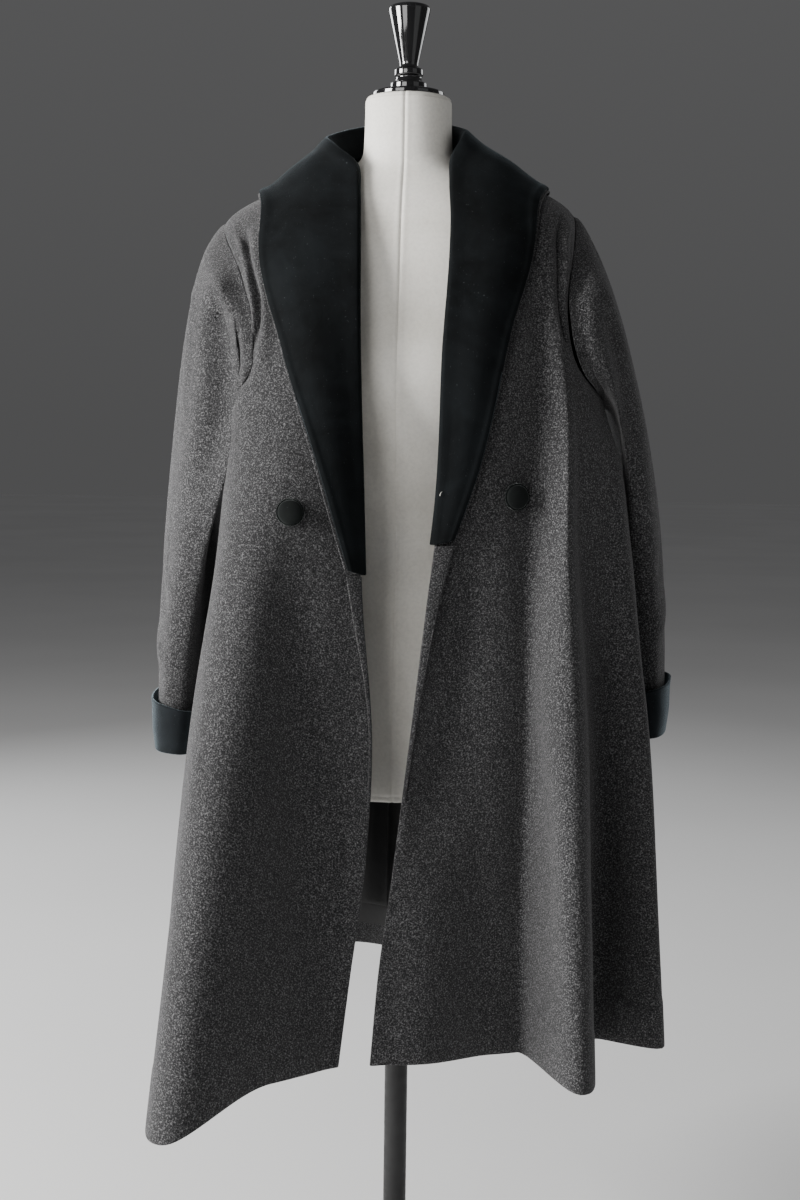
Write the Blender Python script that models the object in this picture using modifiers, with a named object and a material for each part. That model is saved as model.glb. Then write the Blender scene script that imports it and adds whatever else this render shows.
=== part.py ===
"""A heavy wool swing coat with a velvet shawl collar, hung open on a limbless dress form and its stand.

Metres, +Z up. The origin is on the floor under the middle of the stand. The form faces -Y and its
right-hand side, seen from the front, is +X. Angles around the body start at the front, 0 degrees,
and grow through +X, 90, to the back, 180. "drop" runs down the coat, 0 at the neck seam, 1 at the hem.
"""
import math

import bmesh
import bpy
import numpy as np

# Driving dimensions
WOOL = 0.0030               # body cloth with its lining glued in
VELVET = 0.0025             # collar and cuff cloth
SLEEVE_WOOL = 0.0016        # sleeve cloth
UNDER = 0.0018              # wool under-collar
LINING = 0.0010
SEAM = 0.0003               # gap between pieces that are sewn together
CREST_ROUNDNESS = 1.30      # above 1 a flute's crest is rounder and its flanks steeper
FOLD_EASE = 0.06            # share of a flute's length over which it starts
SHOULDER_TILT = 0.030       # the coat hangs lower on its -X shoulder, by this slope
TIP_DROP = 0.15             # drop of the shoulder tip
UNDERARM_DROP = 0.37        # drop of the underarm point
LIFT = 0.0078               # how far the collar's face lies above the cloth that it covers
ROLL_RADIUS = 0.0055        # the collar's roll where it turns over
ROLL_TURNS = (-35, -5, 25, 58, 90)          # degrees around the roll of each point on it
NECK_SEAM_RISE = 0.0024     # the collar's seam stands this high over the neck edge
NECK_ROLL_SHARE = 0.9       # the roll's height over the stand, as a share of its radius
SWELL = 0.004               # how much further the middle of the fall stands up
SWELL_SHARE = 0.05          # the swell is never more than this share of the collar's width
SETTLING = 1.8              # how fast the fall settles from the roll onto the cloth
UNDER_SHOWS = 0.0016        # how far the wool under-collar shows past the velvet's edge

# The coat's rings, top to bottom: heights at side, front and back, half width, sideways shift, depths
RING_COLUMNS = ("drop", "side_z", "front_z", "back_z", "half_width", "shift", "depth_front", "depth_back")
RINGS = (
    (0.00, 1.418, 1.394, 1.436, 0.070, -0.008, 0.064, 0.070),
    (0.07, 1.391, 1.330, 1.405, 0.134, -0.009, 0.096, 0.102),
    (0.15, 1.350, 1.262, 1.345, 0.202, -0.010, 0.120, 0.130),
    (0.26, 1.250, 1.185, 1.240, 0.208, -0.004, 0.130, 0.150),
    (0.38, 1.125, 1.090, 1.110, 0.211, 0.002, 0.138, 0.160),
    (0.52, 0.970, 0.950, 0.950, 0.213, 0.000, 0.148, 0.170),
    (0.70, 0.760, 0.750, 0.745, 0.225, 0.000, 0.160, 0.190),
    (0.86, 0.570, 0.568, 0.560, 0.232, 0.001, 0.176, 0.215),
    (1.00, 0.412, 0.424, 0.410, 0.239, 0.004, 0.192, 0.240),
)

# The flutes: crest angle at the top and the hem, drop where it starts, how fast it grows, reach
# towards the front and towards the back, depth at the hem, the way it is pushed, how far its hem sags
FOLD_COLUMNS = ("crest_top", "crest_hem", "start", "growth", "reach_front", "reach_back",
                "depth", "push", "sag")
FOLDS = (
    (-42, -42, 0.10, 0.92, 46, 36, 0.168, -14, -0.004),
    (-46, -44, 0.40, 1.00, 24, 20, 0.068, -10, 0.034),
    (0, 3, 0.45, 1.30, 14, 26, 0.042, 0, -0.006),
    (67, 53, 0.10, 0.80, 16, 16, 0.130, 13, 0.006),
    (80, 81, 0.26, 0.36, 16, 15, 0.106, 44, -0.004),
    (118, 122, 0.34, 1.00, 20, 19, 0.062, 122, 0.004),
    (158, 160, 0.30, 1.10, 20, 18, 0.052, 160, 0.006),
    (204, 200, 0.26, 1.05, 19, 22, 0.066, 202, 0.008),
    (243, 240, 0.36, 1.00, 17, 19, 0.056, 238, 0.004),
)

# The front edges: x at each drop, which is the roll line above the break and the fold edge below it
EDGE_COLUMNS = ("drop", "left_x", "right_x")
EDGES = (
    (0.00, -0.054, 0.054),
    (0.08, -0.048, 0.061),
    (0.26, -0.040, 0.056),
    (0.44, -0.030, 0.052),
    (0.55, -0.025, 0.040),
    (0.68, -0.013, 0.025),
    (0.80, -0.015, 0.011),
    (0.90, -0.024, 0.000),
    (1.00, -0.031, -0.005),
)

# The armhole: angle where it crosses each drop, on the front and on the back
ARMHOLE_COLUMNS = ("drop", "front_left", "front_right", "back")
ARMHOLE = (
    (TIP_DROP, 90, 90, 90),
    (0.175, 62, 77, 103),
    (0.22, 50, 68, 112),
    (0.28, 46, 66, 115),
    (0.33, 50, 70, 108),
    (0.355, 66, 78, 99),
    (UNDERARM_DROP, 90, 90, 90),
)

# The sleeves, shoulder to wrist: outer and inner line, middle of the depth, half depth, how much
# further the front reaches, share of the armhole's shape, and how far the front wraps over the body
SLEEVE_COLUMNS = ("outer_left", "outer_right", "outer_z", "inner", "inner_z", "middle", "half_depth",
                  "fore", "seat", "wrap")
SLEEVES = (
    (0.221, 0.203, 1.334, 0.215, 1.143, 0.000, 0.090, 0.008, 0.80, 0.000),
    (0.237, 0.222, 1.303, 0.223, 1.130, 0.002, 0.096, 0.020, 0.50, 0.024),
    (0.251, 0.241, 1.258, 0.229, 1.100, 0.004, 0.098, 0.034, 0.25, 0.050),
    (0.262, 0.260, 1.195, 0.233, 1.055, 0.006, 0.097, 0.047, 0.08, 0.065),
    (0.272, 0.281, 1.110, 0.234, 1.000, 0.008, 0.094, 0.044, 0.00, 0.054),
    (0.282, 0.300, 1.000, 0.232, 0.930, 0.010, 0.090, 0.026, 0.00, 0.030),
    (0.288, 0.310, 0.890, 0.234, 0.850, 0.012, 0.086, 0.012, 0.00, 0.014),
    (0.289, 0.312, 0.790, 0.238, 0.780, 0.014, 0.082, 0.005, 0.00, 0.006),
    (0.289, 0.312, 0.732, 0.239, 0.726, 0.016, 0.080, 0.002, 0.00, 0.000),
)
SLEEVE_WRAP = {"left": 1.0, "right": 0.0}
SLEEVE_RISE = {"left": 0.000, "right": 0.026}
SLEEVE_SPREAD = {"left": 0.000, "right": 0.020}
SLEEVE_CLOSE = {"left": 0.010, "right": 0.030}
SLEEVE_BACK = {"left": 0.000, "right": 0.036}
HEAD_STEP = 0.006           # first step of the sleeve away from its seam
HEAD_RISE = 0.003           # how far that step rises over the cloth
HEAD_LIFT = 0.005           # how far the sleeve's head stands out over its seam
HEAD_LENGTH = 0.25          # share of the sleeve over which that lift fades away
SLEEVE_BLUNTNESS = 0.62     # below 1 the sleeve's outer and inner edges are squarer
SPREAD_START = 0.25         # share of the inner line's spread that the first ring already has
SPREAD_SPEED = 3.0          # the spread and the closing behind are complete at one third of the sleeve
BACK_SPEED = 2.2            # the push to the back is complete at 1 / 2.2 of the sleeve
FORE_SHARPNESS = 1.5        # how narrow the part of the ring is that reaches forward, and that wraps over
WRAP_SHARPNESS = 2.2
CUFF_HEIGHT = 0.057
CUFF_FLARE = (0.004, 0.002, 0.0016, 0.0)    # how far each of the cuff's rings stands off, top to bottom
CUFF_START_RING = 4         # the cuff starts on this ring, counted from the wrist

# The collar's spokes, lapel end to back neck: where it rolls over, where its edge lies, stand, lean
SPOKE_COLUMNS = ("along", "roll_angle", "roll_drop", "edge_angle", "edge_drop", "stand", "lean")
SPOKES = {
    "left": (
        (0.00, None, 0.520, -11.0, 0.516, 0.000, 0.00),
        (0.10, None, 0.440, -17.5, 0.440, 0.000, 0.00),
        (0.20, None, 0.350, -26.5, 0.340, 0.000, 0.00),
        (0.30, None, 0.260, -34.5, 0.250, 0.000, 0.00),
        (0.40, None, 0.170, -42.0, 0.172, 0.000, 0.00),
        (0.50, None, 0.075, -52.0, 0.126, 0.000, 0.00),
        (0.60, None, 0.000, -66.0, 0.103, 0.003, 0.20),
        (0.65, -56, 0.000, -76.0, 0.098, 0.010, 0.50),
        (0.75, -85, 0.000, -98.0, 0.100, 0.022, 0.50),
        (0.85, -118, 0.000, -126.0, 0.114, 0.030, 0.35),
        (1.00, -180, 0.000, -180.0, 0.128, 0.035, 0.20),
    ),
    "right": (
        (0.00, None, 0.490, 18.5, 0.486, 0.000, 0.00),
        (0.10, None, 0.420, 25.0, 0.418, 0.000, 0.00),
        (0.20, None, 0.340, 31.5, 0.332, 0.000, 0.00),
        (0.30, None, 0.255, 38.5, 0.245, 0.000, 0.00),
        (0.40, None, 0.165, 47.0, 0.172, 0.000, 0.00),
        (0.50, None, 0.075, 57.0, 0.130, 0.000, 0.00),
        (0.60, None, 0.000, 69.0, 0.112, 0.005, 0.00),
        (0.65, 72, 0.000, 78.0, 0.108, 0.014, 0.00),
        (0.75, 93, 0.000, 99.0, 0.108, 0.026, 0.00),
        (0.85, 122, 0.000, 126.0, 0.116, 0.030, 0.12),
        (1.00, 180, 0.000, 180.0, 0.128, 0.035, 0.20),
    ),
}

# The turned-back facing below the collar: width at each drop
FACING_COLUMNS = ("drop", "left_width", "right_width")
FACINGS = (
    (0.495, 0.0170, 0.0215),
    (0.560, 0.0100, 0.0130),
    (0.640, 0.0040, 0.0070),
    (0.740, 0.0030, 0.0040),
)
FACING_WALL = 0.0022
FACING_SEAT = 0.0009        # the gap under the facing, and how much more at its middle
FACING_ARCH = 0.0008
FACING_TOP = 0.0015         # how far below the collar's end it starts, as a drop
FACING_ROWS = 9

BUTTON_RADIUS = 0.0155
BUTTON_HEIGHT = 0.009
BUTTON_SEAT = 0.0004
BUTTON_FOOT = 0.55          # radius of its flat foot, and height of its rim, as shares
BUTTON_RIM = 0.35
BUTTONS = (("button_left", -0.106, 1.018), ("button_right", 0.134, 1.036))

# The dress form, top to bottom
TORSO_COLUMNS = ("z", "half_width", "depth_front", "depth_back", "middle")
TORSO = (
    (1.487, 0.0495, 0.0490, 0.0490, 0.0000),
    (1.478, 0.0500, 0.0495, 0.0495, 0.0000),
    (1.440, 0.0510, 0.0500, 0.0510, 0.0000),
    (1.4190, 0.0544, 0.0515, 0.0560, 0.0010),
    (1.4047, 0.0706, 0.0536, 0.0670, 0.0020),
    (1.3868, 0.1084, 0.0640, 0.0820, 0.0040),
    (1.3605, 0.1565, 0.0770, 0.0960, 0.0050),
    (1.3210, 0.1810, 0.0890, 0.1060, 0.0050),
    (1.250, 0.1800, 0.1030, 0.1120, 0.0050),
    (1.170, 0.1720, 0.1160, 0.1050, 0.0040),
    (1.080, 0.1500, 0.0980, 0.0950, 0.0020),
    (0.990, 0.1300, 0.0840, 0.0880, 0.0000),
    (0.900, 0.1480, 0.0980, 0.1020, 0.0000),
    (0.810, 0.1700, 0.1120, 0.1200, 0.0000),
    (0.720, 0.1740, 0.1120, 0.1250, 0.0000),
    (0.686, 0.1680, 0.1060, 0.1200, 0.0000),
)
NECK_TOP = TORSO[0][0]
TORSO_BOTTOM = TORSO[-1][0]
PLATE_RADIUS = 0.041
PLATE_HEIGHT = 0.008
FINIAL = (
    (0.0000, 0.0210), (0.0075, 0.0210), (0.0095, 0.0160), (0.0140, 0.0145),
    (0.0170, 0.0165), (0.0230, 0.0165), (0.0262, 0.0110), (0.0300, 0.0108),
    (0.0560, 0.0165), (0.0900, 0.0240), (0.0935, 0.0225), (0.0960, 0.0160),
)
POLE_RADIUS = 0.0138
BASE_PROFILE = ((0.026, 0.034), (0.030, 0.022), (0.150, 0.014), (0.194, 0.012), (0.200, 0.006), (0.200, 0.000))

ROWS_YOKE = 4               # rows from the neck to the shoulder tip
ROWS_ARMHOLE = 9            # rows down the armhole
SLEEVE_ROWS = 16
ROWS_SKIRT = 11             # rows from the underarm to the hem
FRONT_COLUMNS = 21
BACK_COLUMNS = 33
LINING_TOP_ROW = 16         # the first row below the form, where the lining shows
LINING_GAP = 0.0008
CORNER_ALONG = 0.60         # the spoke at the neck corner, where lapel and collar meet
FALL_POINTS = 7             # points from the roll to the collar's edge
SIDE_SPOKES = 21            # spokes on each side of the collar


def table(rows, columns):
    """A table's columns by name, as arrays."""
    values = np.array(rows, dtype=float)
    return {name: values[:, i] for i, name in enumerate(columns)}


def smooth(at, knots, values):
    """A smooth curve through the knots: cubic Hermite pieces with averaged slopes."""
    at = np.clip(np.asarray(at, dtype=float), knots[0], knots[-1])
    steps = np.diff(values) / np.diff(knots)
    slopes = np.concatenate(([steps[0]], (steps[:-1] + steps[1:]) / 2, [steps[-1]]))
    i = np.clip(np.searchsorted(knots, at, side="right") - 1, 0, len(knots) - 2)
    width = knots[i + 1] - knots[i]
    t = (at - knots[i]) / width
    keep = (1 + 2 * t) * (1 - t) ** 2
    rise = t * (1 - t) ** 2
    return (keep * values[i] + rise * width * slopes[i]
            + (1 - keep) * values[i + 1] - t * t * (1 - t) * width * slopes[i + 1])


RING = table(RINGS, RING_COLUMNS)
EDGE = table(EDGES, EDGE_COLUMNS)
HOLE = table(ARMHOLE, ARMHOLE_COLUMNS)
SLEEVE = table(SLEEVES, SLEEVE_COLUMNS)
FACING = table(FACINGS, FACING_COLUMNS)


def ring(name, drop):
    return smooth(drop, RING["drop"], RING[name])


def body_point(angle, drop):
    """The coat's outer face at an angle and a drop: a ring's point, moved out by each flute."""
    angle, drop = np.broadcast_arrays(np.asarray(angle, float), np.asarray(drop, float))
    sine = np.sin(np.radians(angle))
    cosine = np.cos(np.radians(angle))
    front = cosine > 0
    depth = np.where(front, ring("depth_front", drop), ring("depth_back", drop))
    side_z = ring("side_z", drop)
    level = np.where(front, ring("front_z", drop), ring("back_z", drop))
    x = ring("shift", drop) + ring("half_width", drop) * sine
    y = -depth * cosine
    z = side_z + (level - side_z) * cosine ** 2 + SHOULDER_TILT * x * (1 - drop) ** 2
    for row in FOLDS:
        fold = dict(zip(FOLD_COLUMNS, row))
        crest = fold["crest_top"] + (fold["crest_hem"] - fold["crest_top"]) * drop
        away = (angle - crest + 180) % 360 - 180
        if fold["crest_hem"] < 0:
            away = -away
        reach = np.where(away < 0, fold["reach_front"], fold["reach_back"])
        share = np.clip(np.abs(away) / reach, 0, 1) ** CREST_ROUNDNESS
        bump = 0.5 + 0.5 * np.cos(np.pi * share)
        down = np.clip((drop - fold["start"]) / (1 - fold["start"]), 0, 1)
        eased = (1 + FOLD_EASE) * down ** 2 / (down + FOLD_EASE)
        if fold["growth"] < 1:
            grown = 1 - (1 - eased) ** (1 / fold["growth"])
        else:
            grown = eased ** fold["growth"]
        move = fold["depth"] * bump * grown
        x = x + move * np.sin(np.radians(fold["push"]))
        y = y - move * np.cos(np.radians(fold["push"]))
        z = z - fold["sag"] * bump * grown * drop
    return np.stack([x, y, z], axis=-1)


def unit(vectors):
    return vectors / np.linalg.norm(vectors, axis=-1, keepdims=True)


def body_normal(angle, drop):
    """The way out of the cloth, from the surface's slopes on both sides of the point."""
    turn = 0.05
    fall = 0.0005
    across = body_point(angle + turn, drop) - body_point(angle - turn, drop)
    down = body_point(angle, np.clip(drop + fall, 0, 1)) - body_point(angle, np.clip(drop - fall, 0, 1))
    return unit(np.cross(down, across))


def side_sign(side):
    return -1.0 if side == "left" else 1.0


def edge_angle(side, drop):
    """The angle where the front edge's x lies on the ring."""
    sine = (smooth(drop, EDGE["drop"], EDGE[side + "_x"]) - ring("shift", drop)) / ring("half_width", drop)
    return np.degrees(np.arcsin(sine))


def seam_turn(drop):
    """Half the seam gap as an angle on the ring's side."""
    return np.degrees(SEAM / 2 / ring("depth_front", drop))


def armhole_angle(face, drop):
    """The panel's side edge: shoulder seam, armhole, then side seam, as an angle from the front."""
    inside = (drop > TIP_DROP) & (drop < UNDERARM_DROP)
    turn = np.where(inside, 0, seam_turn(drop))
    curve = np.where(inside, smooth(drop, HOLE["drop"], HOLE[face]), 90.0)
    return curve + turn if face == "back" else curve - turn


def drop_rows():
    """The rows of every panel, which share the shoulder tip and the underarm."""
    even = np.linspace(0, 1, ROWS_ARMHOLE + 1)
    turn = 0.5 * even + 0.25 - 0.25 * np.cos(even * np.pi)
    hole = TIP_DROP + (UNDERARM_DROP - TIP_DROP) * turn
    return np.concatenate([np.linspace(0, TIP_DROP, ROWS_YOKE + 1)[:-1], hole[:-1],
                           np.linspace(UNDERARM_DROP, 1, ROWS_SKIRT + 1)])


def even_shares(start, end, count):
    """Shares of the way from one angle to another, with equal steps of cloth along the hem."""
    fine = np.linspace(0, 1, 400)
    hem = body_point(start + (end - start) * fine, np.ones(400))
    length = np.concatenate(([0], np.cumsum(np.linalg.norm(np.diff(hem, axis=0), axis=1))))
    return np.interp(np.linspace(0, length[-1], count), length, fine)


def panel_angles(name):
    """The angle of each column on each row of a panel."""
    drop = drop_rows()[:, None]
    if name == "back":
        start = armhole_angle("back", drop)
        end = 360 - armhole_angle("back", drop)
        share = even_shares(90.0, 270.0, BACK_COLUMNS)
    else:
        sign = side_sign(name)
        start = edge_angle(name, drop)
        end = sign * armhole_angle("front_" + name, drop)
        share = even_shares(float(start[-1, 0]), float(end[-1, 0]), FRONT_COLUMNS)
    full = np.where(end > 180, 270.0, np.sign(end) * 90.0)
    begin = np.where(start > 60, 90.0, start)
    span = full - begin
    narrowing = end - full
    bent = np.sign(narrowing) * np.minimum(np.abs(narrowing), 0.25 * np.abs(span))
    angle = begin + (span + narrowing - bent) * share[None, :] + bent * share[None, :] ** 3
    angle = angle + (start - begin) * (1 - share[None, :]) ** 2
    return angle, np.repeat(drop, len(share), axis=1)


def grid_normals(points, closed):
    """Normals of a grid of points from its neighbours, rows down and columns across."""
    down = np.gradient(points, axis=0)
    if closed:
        across = np.roll(points, -1, axis=1) - np.roll(points, 1, axis=1)
    else:
        across = np.gradient(points, axis=1)
    return unit(np.cross(down, across))


def grid_faces(rows, columns, closed, start):
    """Triangles of a grid whose first point has the index start, all split the same way."""
    i = np.arange(rows - 1)[:, None]
    j = np.arange(columns if closed else columns - 1)[None, :]
    after = (j + 1) % columns
    here, below = i * columns + j, (i + 1) * columns + j
    beside, opposite = i * columns + after, (i + 1) * columns + after
    first = np.stack(np.broadcast_arrays(here, below, opposite), axis=-1).reshape(-1, 3)
    second = np.stack(np.broadcast_arrays(here, opposite, beside), axis=-1).reshape(-1, 3)
    return np.concatenate([first, second]) + start


def wall_mesh(name, outer, inner, closed=False):
    """A closed wall between two grids of points, its rims filled in, all of it triangles."""
    rows, columns = outer.shape[:2]
    count = rows * columns
    faces = [grid_faces(rows, columns, closed, 0), grid_faces(rows, columns, closed, count)[:, ::-1]]
    index = np.arange(count).reshape(rows, columns)
    rims = []
    for line, flip in ((index[0], False), (index[-1], True)):
        line = np.append(line, line[0]) if closed else line
        rims.append((line[:-1], line[1:], flip))
    if not closed:
        rims.append((index[:, 0], None, True))
        rims.append((index[:, -1], None, False))
    for first, second, flip in rims:
        if second is None:
            first, second = first[:-1], first[1:]
        quad = np.stack([first, second, second + count, first + count], axis=-1)
        rim = quad[:, ::-1] if flip else quad
        faces.append(rim[:, [0, 1, 2]])
        faces.append(rim[:, [0, 2, 3]])
    points = np.concatenate([outer.reshape(-1, 3), inner.reshape(-1, 3)])
    mesh = bpy.data.meshes.new(name)
    mesh.from_pydata(points.tolist(), [], np.concatenate(faces).tolist())
    bm = bmesh.new()
    bm.from_mesh(mesh)
    bmesh.ops.recalc_face_normals(bm, faces=bm.faces)
    bm.to_mesh(mesh)
    bm.free()
    mesh.shade_smooth()
    mesh.set_sharp_from_angle(angle=math.radians(50))
    return mesh


def add_object(name, mesh, material):
    item = bpy.data.objects.new(name, mesh)
    bpy.data.collections["wool_coat"].objects.link(item)
    mesh.materials.append(material)
    return item


def finish(name, colour, roughness, metallic=0.0):
    material = bpy.data.materials.new(name)
    material.use_nodes = True
    shader = material.node_tree.nodes["Principled BSDF"]
    shader.inputs["Base Color"].default_value = (*colour, 1.0)
    shader.inputs["Roughness"].default_value = roughness
    shader.inputs["Metallic"].default_value = metallic
    return material


def body_panel(name, node, material):
    angle, drop = panel_angles(name)
    points = body_point(angle, drop)
    normals = body_normal(angle, drop)
    return add_object(node, wall_mesh(node, points, points - normals * WOOL), material)


def back_lining(material):
    """The dark lining, inside the back panel and from the same lines of the cloth."""
    angle, drop = panel_angles("back")
    angle = angle[LINING_TOP_ROW:-1, 1:-1]
    drop = drop[LINING_TOP_ROW:-1, 1:-1]
    points = body_point(angle, drop)
    normals = body_normal(angle, drop)
    outer = points - normals * (WOOL + LINING_GAP)
    return add_object("back_lining", wall_mesh("back_lining", outer, outer - normals * LINING), material)


def armhole_loop(side):
    """The armhole from the shoulder tip down the front and up the back, with the cloth's normals."""
    drop = drop_rows()
    hole = drop[(drop >= TIP_DROP - 1e-9) & (drop <= UNDERARM_DROP + 1e-9)]
    front = smooth(hole, HOLE["drop"], HOLE["front_" + side])
    back = smooth(hole, HOLE["drop"], HOLE["back"])
    angle = side_sign(side) * np.concatenate([front, back[-2:0:-1]])
    drop = np.concatenate([hole, hole[-2:0:-1]])
    points = body_point(angle, drop)
    normals = body_normal(angle, drop)
    return points, normals


def sleeve_rings(side):
    """The sleeve's rings from the armhole to the wrist, each an oval that starts out as the armhole."""
    sign = side_sign(side)
    loop, loop_normals = armhole_loop(side)
    count = len(loop)
    turn = 2 * np.pi * np.arange(count) / count
    along = np.roll(loop, -1, axis=0) - np.roll(loop, 1, axis=0)
    inward = unit(np.cross(loop_normals, along)) * sign
    first = loop + inward * SEAM
    tip, underarm = loop[0], loop[count // 2]
    half = (tip - underarm) / 2
    blunt = np.sign(np.cos(turn)) * np.abs(np.cos(turn)) ** SLEEVE_BLUNTNESS
    oval = (tip + underarm) / 2 + blunt[:, None] * half
    oval[:, 1] -= SLEEVE["half_depth"][0] * np.sin(turn)
    shape = first - oval
    rings = [first, first + inward * HEAD_STEP + loop_normals * HEAD_RISE]
    fine = np.linspace(0, len(SLEEVE["seat"]) - 1, SLEEVE_ROWS)
    knots = np.arange(len(SLEEVE["seat"]), dtype=float)
    size = {name: smooth(fine, knots, SLEEVE[name]) for name in SLEEVE_COLUMNS}
    down = fine / fine[-1]
    for k in range(1, len(fine)):
        rise = SLEEVE_RISE[side] * down[k]
        outer = np.array([sign * size["outer_" + side][k], 0, size["outer_z"][k] + rise])
        settled = min(1.0, SPREAD_START + down[k] * SPREAD_SPEED)
        spread = SLEEVE_SPREAD[side] * settled
        inner = np.array([sign * (size["inner"][k] + spread), 0, size["inner_z"][k] + rise])
        points = (outer + inner) / 2 + blunt[:, None] * (outer - inner) / 2
        middle = size["middle"][k] + SLEEVE_BACK[side] * min(1.0, down[k] * BACK_SPEED)
        ahead = np.clip(np.sin(turn), 0, 1)
        fore = size["fore"][k] * SLEEVE_WRAP[side] * ahead ** FORE_SHARPNESS
        points[:, 1] += middle - size["half_depth"][k] * np.sin(turn) - fore
        points[:, 0] -= sign * size["wrap"][k] * SLEEVE_WRAP[side] * ahead ** WRAP_SHARPNESS
        behind = np.clip(-np.sin(turn), 0, 1)
        points[:, 0] -= sign * SLEEVE_CLOSE[side] * min(1.0, down[k] * SPREAD_SPEED) * behind ** FORE_SHARPNESS
        lift = HEAD_LIFT * max(0.0, 1 - down[k] / HEAD_LENGTH)
        rings.append(points + shape * size["seat"][k] + loop_normals * lift)
    return np.array(rings), loop_normals


def outward(points, sign):
    normals = grid_normals(points, True)
    return normals * -sign


def sleeve(side, material):
    points, loop_normals = sleeve_rings(side)
    normals = outward(points, side_sign(side))
    normals[0] = loop_normals
    node = "sleeve_" + side
    return add_object(node, wall_mesh(node, points, points - normals * SLEEVE_WOOL, True), material)


def cuff(side, material):
    """The turned-back velvet cuff, from the sleeve's own rings moved out."""
    points, _ = sleeve_rings(side)
    normals = outward(points, side_sign(side))
    last, before = points[-1], points[-CUFF_START_RING]
    length = np.linalg.norm(last - before, axis=1).mean()
    share = 1 - CUFF_HEIGHT / length * np.linspace(1, 0, len(CUFF_FLARE))[:, None, None]
    base = before + (last - before) * share
    normal = normals[-2][None]
    flare = np.array(CUFF_FLARE)[:, None, None]
    inner = base + normal * (SEAM + flare)
    node = "cuff_" + side
    return add_object(node, wall_mesh(node, inner + normal * VELVET, inner, True), material)


def collar_spokes(side, count):
    """The collar's spokes on one side, lapel end to back neck, as arrays by name."""
    rows = [list(row) for row in SPOKES[side]]
    for row in rows:
        if row[1] is None:
            row[1] = float(edge_angle(side, row[2]))
    spokes = table(rows, SPOKE_COLUMNS)
    along = np.linspace(0, 1, count)
    return {name: smooth(along, spokes["along"], spokes[name]) for name in SPOKE_COLUMNS}


def collar_side(side):
    """One side of the collar's face: rows are spokes, columns run from its seam over the roll to its edge."""
    spoke = collar_spokes(side, SIDE_SPOKES)
    sign = side_sign(side)
    drop = np.clip(spoke["roll_drop"], 0, 1)
    corner = np.isclose(spoke["along"], CORNER_ALONG)
    angle = np.where(spoke["along"] < CORNER_ALONG + 0.01, edge_angle(side, drop), spoke["roll_angle"])
    seam = body_point(angle, drop)
    normal = body_normal(angle, drop)
    neck = np.where(corner, 0.5, (spoke["along"] > CORNER_ALONG) * 1.0)[:, None]
    beyond = unit(np.cross(normal, np.gradient(seam, axis=0))) * sign
    up = np.array([0.0, 0.0, 1.0])
    out = unit(normal * np.array([1.0, 1.0, 0.0]))
    stand = np.clip(spoke["stand"], 0, 1)[:, None] * (up + out * spoke["lean"][:, None])
    rolled = []
    neck_path = (beyond * SEAM + up * NECK_SEAM_RISE, up * NECK_SEAM_RISE + stand * 0.5, stand,
                 stand + (up + out) * ROLL_RADIUS * NECK_ROLL_SHARE, stand + out * ROLL_RADIUS * 2)
    for turn, path in zip(np.radians(ROLL_TURNS), neck_path):
        lapel = (beyond * math.cos(turn) + normal * math.sin(turn)) * ROLL_RADIUS
        rolled.append(seam + lapel * (1 - neck) + path * neck)
    far = body_point(spoke["edge_angle"], spoke["edge_drop"])
    width = np.linalg.norm(far - seam, axis=1)[:, None]
    swell = np.minimum(SWELL, width * SWELL_SHARE)
    reach = np.linspace(0, 1, FALL_POINTS + 1)[1:]
    start_lift = rolled[-1] - (seam + normal * LIFT)
    fall = []
    for c in reach:
        fall_angle = angle + (spoke["edge_angle"] - angle) * c
        fall_drop = drop + (spoke["edge_drop"] - drop) * c
        surface = body_point(fall_angle, fall_drop)
        lift = body_normal(fall_angle, fall_drop) * (LIFT + swell * math.sin(math.pi * c) ** 2)
        fall.append(surface + lift + start_lift * (1 - c) ** SETTLING)
    return np.stack(rolled + fall, axis=1)


def collar_face():
    left = collar_side("left")
    right = collar_side("right")
    middle = (left[-1] + right[-1]) / 2
    return np.concatenate([left[:-1], middle[None], right[-2::-1]])


def collar(velvet, wool):
    face = collar_face()
    normals = grid_normals(face, False)
    if normals[0, -1, 1] > 0:
        normals = -normals
    add_object("collar", wall_mesh("collar", face, face - normals * VELVET), velvet)
    first = len(ROLL_TURNS)
    under = face[:, first:] - normals[:, first:] * (VELVET + SEAM)
    edge = unit(under[:, -1] - under[:, -2])
    under = np.concatenate([under, (under[:, -1] + edge * UNDER_SHOWS)[:, None]], axis=1)
    under_normals = np.concatenate([normals[:, first:], normals[:, -1:]], axis=1)
    mesh = wall_mesh("undercollar", under, under - under_normals * UNDER)
    add_object("undercollar", mesh, wool)


def facing(side, material):
    """The narrow wool facing that turns back over the front edge and tapers away."""
    sign = side_sign(side)
    top = SPOKES[side][0][2] + FACING_TOP
    drop = np.linspace(top, FACING["drop"][-1], FACING_ROWS)[:, None]
    width = smooth(drop, FACING["drop"], FACING[side + "_width"])
    start = edge_angle(side, drop)
    steps = np.linspace(0, 1, 3)[None, :]
    metres_per_degree = np.radians(1) * ring("half_width", drop)
    angle = start + sign * width / metres_per_degree * steps
    lift = FACING_SEAT + FACING_ARCH * np.sin(np.pi * steps)
    base = body_point(angle, drop + 0 * steps)
    normal = body_normal(angle, drop + 0 * steps)
    lower = base + normal * lift[..., None]
    node = "facing_" + side
    return add_object(node, wall_mesh(node, lower + normal * FACING_WALL, lower), material)


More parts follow.
